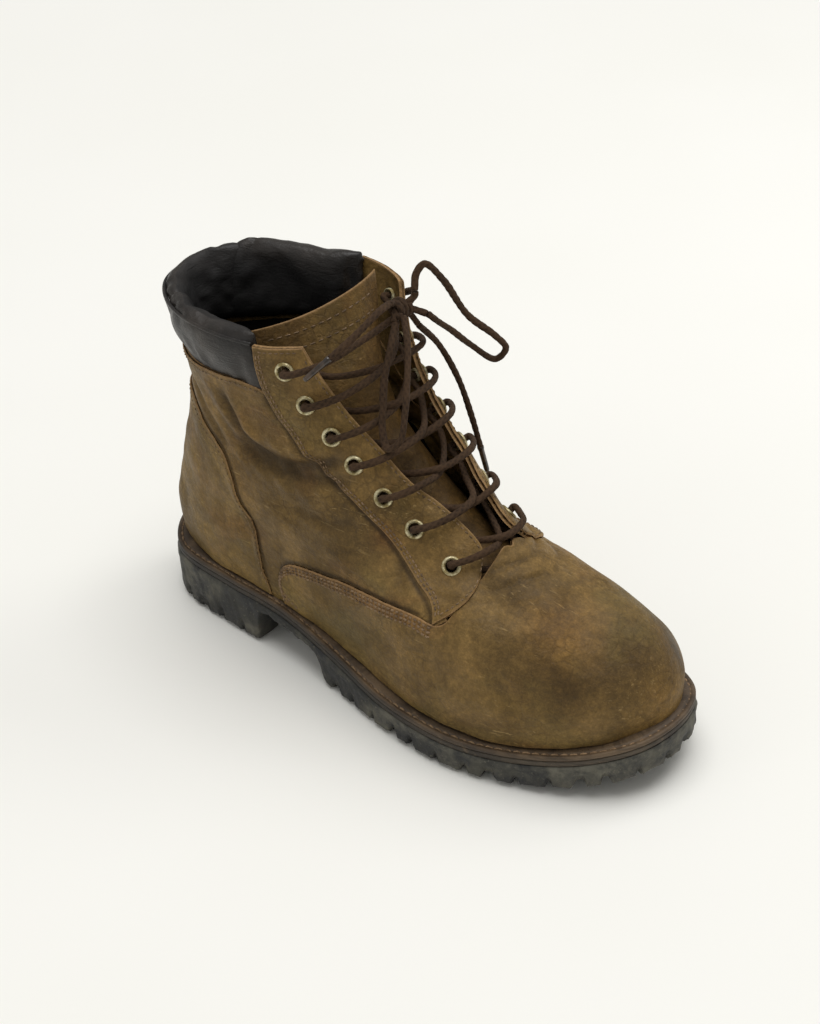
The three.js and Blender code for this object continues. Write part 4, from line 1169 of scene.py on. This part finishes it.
# ---------------------------------------------------------------- collar
# Section of the padded roll as (share of the way from its lower edge to its top, depth).
ROLL = [(-.06, 1.6), (.1, .2), (.3, -.7), (.5, -1.1), (.72, -.8), (.9, .6), (1, 3.0), (1.04, 6.2), (1, 9.3),
        (.86, 12), (.6, 13.2), (.35, 13), (.1, 11.6), (-.03, 8.5), (-.08, 5)]
ROLL_CENTRE = np.array([.5, 6])
ROLL_HALF_SIZE = np.array([17, 8])  # mm up and mm deep
PIPING_AT = 4.7  # where on that section, counted in points, the piping lies
COLLAR_TOPS = {LATERAL: 186, MEDIAL: 189}
COLLAR_RISE = (1, 4.5)  # how far the padding swells above that, on the lateral and the medial side
COLLAR_FRONT = (57, 50)  # x of the side pads' front ends, below and at the top
REAR_SEAM = -15
SEAM_LAP = 3.0  # how far the pads run past the seams into each other
END_PULL, CLOTH_ROOM = 1.7, 1.2  # how far a pad draws in at its ends, and everywhere before it is swollen
PAD_FRAMES, PAD_SWELL = 20, 1.9  # length of the cloth simulation, and the most that it moves a point


def collar_stations():
    """Each pad's path as rows of u, v of the lower edge and u, v of the top."""
    pads, seams = {}, []
    low_front, top_front = COLLAR_FRONT
    end = REAR_SEAM - SEAM_LAP
    for side, name in SIDE_NAMES.items():
        low = [(low_front, 154), (40, 157.3), (20, 156), (0, 153), (end, 152)]
        top = [(x, COLLAR_TOPS[side] - .5 * i) for i, x in enumerate((top_front, top_front - 9, 18, 0, end))]
        pads[name] = np.hstack([place(side, low), place(side, top)])
        seams.append(place(side, [(REAR_SEAM + SEAM_LAP, z) for z in (152, COLLAR_TOPS[side] - 2)]).ravel())
    pads["rear"] = np.array([seams[0], [8, seams[0][1], 8, seams[0][3]], seams[1]])
    return pads


def roll_point(station, share, depth):
    """A point of the padding, which swells above the top of the skin."""
    low_u, low, high_u, high = station
    points = skin_point(low_u + share * (high_u - low_u), low + share * (high - low), depth)
    lateral, medial = COLLAR_RISE
    points[..., 2] += share * (lateral + (medial - lateral) * smoothstep(points[..., 1], -30, 30))
    return points


def pad_rings(stations, turns, shrink, thin_start):
    """Sections of a pad along its path. They draw in at both ends, where the seams pull the padding down,
    and a side pad starts thin behind its eyestay."""
    section = spline(ROLL + ROLL[:1], np.linspace(0, 1, 49))[:-1]
    rings = []
    for along, station in zip(np.linspace(0, 1, turns), spline(stations, np.linspace(0, 1, turns))):
        pull = END_PULL * math.exp(-(min(along, 1 - along) / .045) ** 2) + shrink
        share, depth = (ROLL_CENTRE + (section - ROLL_CENTRE) * (1 - pull / ROLL_HALF_SIZE)).T
        if thin_start:
            depth -= .45 * np.maximum(depth, 0) * math.exp(-(along / .16) ** 2)
        rings.append(roll_point(station, share, depth))
    return rings


def sewn_weights(points, rings):
    """1 along a pad's lower edge and at both its ends, where it is sewn, and 0 away from them."""
    low = points[:, 2].min()
    held = 1 - smoothstep(points[:, 2], low + 4 * MM, low + 12 * MM)
    for end, inner in ((rings[0], rings[2]), (rings[-1], rings[-3])):
        along = inner.mean(0) - end.mean(0)
        away = (points - end.mean(0) * MM) @ (along / np.linalg.norm(along))
        held = np.maximum(held, 1 - smoothstep(away, 3 * MM, 8 * MM))
    return held


def vertices(mesh):
    found = np.zeros(len(mesh.vertices) * 3)
    mesh.vertices.foreach_get("co", found)
    return found.reshape(-1, 3)


def puff(made, rings):
    """Swells a pad with a pressure cloth simulation and applies it."""
    remesh = made.modifiers.new("even", "REMESH")
    remesh.mode = "VOXEL"
    remesh.voxel_size = 3.2 * MM
    apply_modifiers(made)
    start = vertices(made.data)
    pins = made.vertex_groups.new(name="sewn")
    for i, weight in enumerate(sewn_weights(start, rings)):
        pins.add([i], float(weight), "REPLACE")
    cloth = made.modifiers.new("cloth", "CLOTH")
    settings = cloth.settings
    settings.quality = 6
    settings.use_pressure = True
    settings.uniform_pressure_force = 3.5
    settings.shrink_min = -.05
    settings.bending_stiffness = 4.0
    settings.effector_weights.gravity = 0
    settings.vertex_group_mass = "sewn"
    cloth.collision_settings.use_collision = False
    cloth.point_cache.frame_start, cloth.point_cache.frame_end = 1, PAD_FRAMES
    for step in range(1, PAD_FRAMES + 1):
        bpy.context.scene.frame_set(step)
    shift = vertices(made.evaluated_get(bpy.context.evaluated_depsgraph_get()).data) - start
    length = np.linalg.norm(shift, axis=1, keepdims=True) + 1e-12
    made.modifiers.clear()
    made.vertex_groups.clear()
    shift *= PAD_SWELL * MM * np.tanh(length / (PAD_SWELL * MM)) / length
    made.data.vertices.foreach_set("co", (start + shift).ravel())
    bpy.context.scene.frame_set(1)
    smoother = made.modifiers.new("fine", "SUBSURF")
    smoother.levels = smoother.render_levels = 1
    apply_modifiers(made)


def collar():
    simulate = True
    piping_share, piping_depth = spline(ROLL, np.array([PIPING_AT / (len(ROLL) - 1)]))[0]
    for name, stations in collar_stations().items():
        at_side = name != "rear"
        rings = pad_rings(stations, 64 if at_side else 46, CLOTH_ROOM if simulate else 0, at_side)
        made = piece("collar_roll_" + name, *tube(rings), charcoal, slot="collar_leather",
                     stands_for=["collar_pad_" + name])
        if simulate:
            puff(made, rings)
        path = spline(stations, np.linspace(.035, .965, 60))
        line = roll_point(path.T, piping_share, np.full(len(path), piping_depth + .3))
        piece("collar_piping_" + name, *round_cord(line, 1.0, 8), charcoal, slot="collar_leather")


# ---------------------------------------------------------------- tongue
TONGUE_LINE = [(171, 0, 83), (150, 0, 94), (130, 0, 108), (112, 0, 124), (96, 0, 142), (80, 0, 164),
               (63, 0, 190)]
TONGUE_FOOT, TONGUE_LATERAL, TONGUE_MEDIAL = 19, 28, 36  # half widths at the throat and at the top
TONGUE_WIDTH, TONGUE_LENGTH = 52, 150  # for the spacing of its mesh lines
TONGUE_CROWN = [(0, .021), (.5, .029), (.8, .024), (1, .013)]  # its arch across, from the throat up


def tongue_point(s, t, depth):
    line, ahead, behind = (spline(TONGUE_LINE, np.clip(t + step, 0, 1)) for step in (0, .01, -.01))
    tangent = (ahead - behind) / np.linalg.norm(ahead - behind, axis=1, keepdims=True)
    normal = np.stack([tangent[:, 2], 0 * t, -tangent[:, 0]], 1)
    half = TONGUE_FOOT + t * (np.where(s < .5, TONGUE_LATERAL, TONGUE_MEDIAL) - TONGUE_FOOT)
    y = (2 * s - 1) * half
    crown = hermite(TONGUE_CROWN, t)[..., 0] * y * y
    folds = 0.7 * np.sin(t * 21 + 2 * s) * smoothstep(t, .1, .4) * np.sin(math.pi * s)
    twist = .5 * smoothstep(t, .6, 1) * y
    corners = np.where(y < 0, .008, .003) * y * y * smoothstep(t, .72, 1)  # the top's corners stand up
    across = np.stack([twist, y, .28 * y * t ** 3 + corners], 1)
    return line - normal * (crown + depth + folds)[:, None] + across


def tongue_layer(name, node, outer, inner, material, slot, top=1.0, tint=(1, 1, 1)):
    """One layer of the tongue with rounded edges."""
    s, t = edge_lines(TONGUE_WIDTH), edge_lines(TONGUE_LENGTH) * top
    s_grid, t_grid = (a.ravel() for a in np.meshgrid(s, t, indexing="ij"))
    to_edge = np.minimum(np.minimum(s_grid, 1 - s_grid) * TONGUE_WIDTH,
                         np.minimum(t_grid, top - t_grid) * TONGUE_LENGTH)
    fall = bevel(to_edge, min(EDGE_ROUNDING, (inner - outer) * .45))
    faces_of_layer = (tongue_point(s_grid, t_grid, depth) for depth in (outer + fall, inner - fall))
    points, faces = sheet(*faces_of_layer, len(s), len(t))
    shade = 1 - .35 * (1 - smoothstep(t_grid, .3, .8))
    made = piece(name, points, faces, material, body=None, slot=slot, stands_for=[node],
                 edge=np.tile(np.exp(-(to_edge / .6) ** 2), 2), crease=np.zeros(len(points)),
                 tint=np.tile(shade[:, None] * np.array(tint), (2, 1)))
    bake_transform(made)


def tongue():
    tongue_layer("tongue_leather", "tongue", 0, 1.6, leather, "leather", tint=(.86, .78, .72))
    tongue_layer("tongue_pad", "tongue_padding", 1.7, 5.2, foam_look, "foam", .965)
    tongue_layer("tongue_back", "tongue_lining", 5.25, 6.2, lining_look, "lining", .97)
    parts = []
    s = np.linspace(.07, .93, 120)
    for below in (5.5, 11.5):
        t = np.full(len(s), 1 - below / TONGUE_LENGTH)
        normals = tongue_point(s, t, -1) - tongue_point(s, t, 0)
        normals /= np.linalg.norm(normals, axis=1, keepdims=True)
        parts += stitch_row(tongue_point(s, t, -.12), normals, 4.2, 3.0, .8)
    points, faces = merge(parts)
    piece("tongue_stitching", points, faces, thread, body="tongue", slot="thread",
          tint=np.full((len(points), 3), .72))


# ---------------------------------------------------------------- laces
KNOT = np.array([94, 20, 189.0])
# Strands from the knot to both loops and both loose ends.
KNOT_STRANDS = [
    [(4, -9, -2), (1, -4, .5), (0, 0, 1), (1, 4, 1.5), (3, 8, 4), (3.1, 8.4, 6)],
    [(6, -7, 1), (2, -3, -1.5), (-1, 1, -2), (1, 5, -2), (5, 8.6, -4), (8.4, 9.8, -4.9)],
    [(-1, 3, -1), (.6, 6.5, -5.5), (2.6, 9.6, -12)],
    [(-1, -1, 2), (0, -5, 5), (1, -8.6, 6.8)],
]
# The lace's own way from the knot to the top eyelet of each side.
LACE_LATERAL = [KNOT + (0, -5, -3), (92, 10.5, 184), (91, -8, 183), (86, -27, 180), (76, -37, 176)]
LACE_MEDIAL = [KNOT + (-2, 6, -2), (91, 29.5, 186), (87, 39, 184), (80, 48, 181)]
LOOPS = {
    "medial": [(97, 28, 196), (96, 31, 203), (98, 35, 207), (103, 42, 197), (109, 53, 174),
               (119, 61, 162), (123, 64, 155), (118, 62, 148), (110, 53, 158), (106, 43, 170),
               (105, 35, 178), (103, 30, 184)],
    "lateral": [(98, 12, 187), (103, 1, 180), (105, -7, 169), (108, -13, 158), (111, -18, 147),
                (116, -21, 141), (122, -19, 146), (121, -13, 158), (116, -4, 170), (109, 6, 181),
                (101, 14, 190)],
}
TAILS = {
    "medial": [(97, 30, 176), (99, 42, 160), (106, 47, 141), (111, 51, 117), (115, 52, 100)],
    "lateral": [(95, 11, 196), (98, -1, 198), (97, -13, 194), (94, -22, 189), (90, -29, 184)],
}
LACE_ORDER = "L1 M2 L3 M4 L5 M6 L7 M7 L6 M5 L4 M3 L2 M1".split()
LACE_SIDES, LACE_STEP, LACE_FLATNESS = 16, 0.75, 0.88
THROUGH = [-5.6, -3, 2, 5]  # depths of the lace as it passes through an eyelet, outside to inside
# Profile of a lace tip as (distance along it, radius).
TIP = [(-1.5, 1.5), (-1.2, 1.75), (0, 1.75), (1, 1.5), (6, 1.45), (12, 1.4), (13.4, 1.2), (14, .7)]


def cord_piece(name, paths, body, stands_for):
    """Braided cords along some paths: two families of strands that wind round each in opposite directions."""
    parts, braids = [], []
    angles = np.linspace(0, 2 * math.pi, LACE_SIDES, endpoint=False)
    for k, path in enumerate(paths):
        line = smooth_line(path, LACE_STEP)
        run = np.arange(len(line))[:, None] * LACE_STEP
        height = np.maximum(np.sin(4 * angles + 1.5 * run), np.sin(4 * angles - 1.5 * run + 1))
        girth = LACE * (1 + 0.05 * np.sin(run * .23 + k)) * (0.93 + 0.075 * height)
        parts.append(round_cord(line, girth, LACE_SIDES, LACE_FLATNESS))
        braids += [height.ravel() * .5 + .5, [0.5, 0.5]]
    piece(name, *merge(parts), cord, body=body, slot="lace_cord", stands_for=[stands_for],
          braid=np.concatenate(braids))


def crossing(start, end, over, straight):
    """Points between two eyelets across the throat: over the one flap, then under the other."""
    start, end = (np.array([p[0] - 16 if p[0] > 8 else p[0], p[1]]) for p in (start, end))
    near = THROUGH[0] if over else THROUGH[-1]
    far = THROUGH[-1] if over or straight else THROUGH[0]
    middle = THROUGH[-1] if straight else (-1.6 if over else 3.6)
    stops = [(.12, near), (.27, near), (.5, middle), (.73, far), (.88, far)]
    return [skin_point(*(start + (end - start) * share), depth) for share, depth in stops]


def lacing():
    """The lace from the knot through all fourteen eyelets and back to the knot."""
    sides = {"L": LATERAL, "M": MEDIAL}
    holes = [place(sides[key[0]], [EYELETS[sides[key[0]]][int(key[1]) - 1]])[0] for key in LACE_ORDER]
    half = len(holes) // 2
    path = list(LACE_LATERAL)
    for i, here in enumerate(holes):
        rising = i >= half
        path += [skin_point(*here, depth) for depth in (THROUGH[::-1] if rising else THROUGH)]
        if i + 1 < len(holes):
            path += crossing(here, holes[i + 1], rising, i == half - 1)
    return path + LACE_MEDIAL[::-1]


def knot():
    """The wrap of the bow, two turns about the line between the loops, and the strands that leave it."""
    turns = np.linspace(0, 2.1 * 2 * math.pi, 40)
    wrap = np.stack([3.9 * np.cos(turns), -3.2 + 6.4 * turns / turns[-1], 4.1 * np.sin(turns)], 1)
    cord_piece("bow_knot_wrap", [KNOT + path for path in (wrap, *KNOT_STRANDS)], "boot", "bow_knot")


def lace_tip(name, path):
    line = smooth_line(path, LACE_STEP)
    direction = (line[-1] - line[-3]) / np.linalg.norm(line[-1] - line[-3])
    normal, binormal = (vectors[-1] for vectors in frames_along(line))
    angles = np.linspace(0, 2 * math.pi, 14, endpoint=False)[:, None]
    ring = np.cos(angles) * normal + np.sin(angles) * binormal
    piece("tip_" + name, *tube([line[-1] + direction * at + ring * radius for at, radius in TIP]), aglet,
          body="tail_" + name, slot="aglet_plastic", stands_for=["aglet_" + name])


def laces():
    cord_piece("lacing", [lacing()], "boot", "lace")
    knot()
    for name, path in LOOPS.items():
        cord_piece("loop_cord_" + name, [path], "loop_" + name, "bow_loop_" + name)
    for name, path in TAILS.items():
        cord_piece("tail_cord_" + name, [path], "tail_" + name, "lace_tail_" + name)
        lace_tip(name, path)


# ---------------------------------------------------------------- CAD pieces that stay
HIDDEN_PARTS = {"shank": steel, "steel_toe_cap": steel, "toe_cap_gasket": rubber, "cork_filler": cork_look,
                "insole_board": board_look, "heel_counter": board_look, "vamp_lining": lining_look}


def finish_hidden_parts():
    for node, look in HIDDEN_PARTS.items():
        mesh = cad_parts[node].data
        mesh.materials.clear()
        mesh.materials.append(look)


# ---------------------------------------------------------------- stage, light and camera
FOCAL, SENSOR = 70.3, 36  # mm, for the long side of the picture
VIEW_AZIMUTH, VIEW_ELEVATION, VIEW_ROLL = 39.64, 35.70, -3.19
VIEW_TARGET, VIEW_DISTANCE = Vector((.1105, -.0007, .0903)), .974
FLOOR_HALF_SIZE = 60000
SKY_COLOUR, SKY_STRENGTH = (.93, .925, .90, 1), .42
# Lamps as (name, kind, place, size, power). The sun is as soft as a two metre lamp overhead, but it
# lights the whole floor evenly.
LAMPS = [("overhead", "SUN", (.10, .14, 2.3), math.radians(48), 1.78),
         ("key", "AREA", (.45, .75, 1.0), .6, 2.2), ("fill", "AREA", (-.5, -1.1, .9), .8, .8)]


def floor_and_sky():
    """A pale floor, and a world that lights softly but that the camera sees in the floor's own tone."""
    s = Shader("studio_floor")
    look = s.finish(s.mix(s.spots((3, 2), .3, .7), colour(243, 242, 236), colour(245, 244, 239)), .9)
    points = FLOOR_HALF_SIZE * np.array([(-1, -1, 0), (1, -1, 0), (1, 1, 0), (-1, 1, 0)])
    piece("floor", points, [(0, 1, 2, 3)], look, body=None)
    world = bpy.data.worlds.new("studio")
    bpy.context.scene.world = world
    world.use_nodes = True
    tree = world.node_tree
    lighting = tree.nodes["Background"]
    lighting.inputs["Color"].default_value = SKY_COLOUR
    lighting.inputs["Strength"].default_value = SKY_STRENGTH
    seen = tree.nodes.new("ShaderNodeBackground")
    seen.inputs["Color"].default_value = colour(244, 243, 238)
    path = tree.nodes.new("ShaderNodeLightPath")
    either = tree.nodes.new("ShaderNodeMixShader")
    for source, target in ((path.outputs["Is Camera Ray"], either.inputs[0]),
                           (lighting.outputs[0], either.inputs[1]), (seen.outputs[0], either.inputs[2]),
                           (either.outputs[0], tree.nodes["World Output"].inputs[0])):
        tree.links.new(source, target)


def add_lamps():
    for name, kind, position, size, power in LAMPS:
        light = bpy.data.lights.new(name, kind)
        light.energy = power
        if kind == "SUN":
            light.angle = size
        else:
            light.shape = "DISK"
            light.size = size
        lamp = bpy.data.objects.new(name, light)
        lamp.location = position
        lamp.rotation_euler = (VIEW_TARGET - Vector(position)).to_track_quat("-Z", "Y").to_euler()
        bpy.context.scene.collection.objects.link(lamp)


def add_camera():
    azimuth, elevation, roll = (math.radians(a) for a in (VIEW_AZIMUTH, VIEW_ELEVATION, VIEW_ROLL))
    back = Vector((math.sin(azimuth) * math.cos(elevation), -math.cos(azimuth) * math.cos(elevation),
                   math.sin(elevation)))
    right = Vector((math.cos(azimuth), math.sin(azimuth), 0))
    up = back.cross(right)
    turned = Matrix((right * math.cos(roll) + up * math.sin(roll),
                     up * math.cos(roll) - right * math.sin(roll), back)).transposed()
    lens = bpy.data.cameras.new("camera")
    lens.lens, lens.sensor_width = FOCAL, SENSOR
    camera = bpy.data.objects.new("camera", lens)
    camera.matrix_world = turned.to_4x4()
    camera.location = VIEW_TARGET + back * VIEW_DISTANCE
    bpy.context.scene.collection.objects.link(camera)
    bpy.context.scene.camera = camera


sole_unit()
footbed()
vamp()
for side, name in SIDE_NAMES.items():
    quarter(side, name)
    eyestay(side, name)
heel_pocket()
for side, name in SIDE_NAMES.items():
    lining(side, name)
collar()
tongue()
laces()
finish_hidden_parts()
floor_and_sky()
add_lamps()
add_camera()
bpy.context.scene.view_settings.view_transform = "Standard"
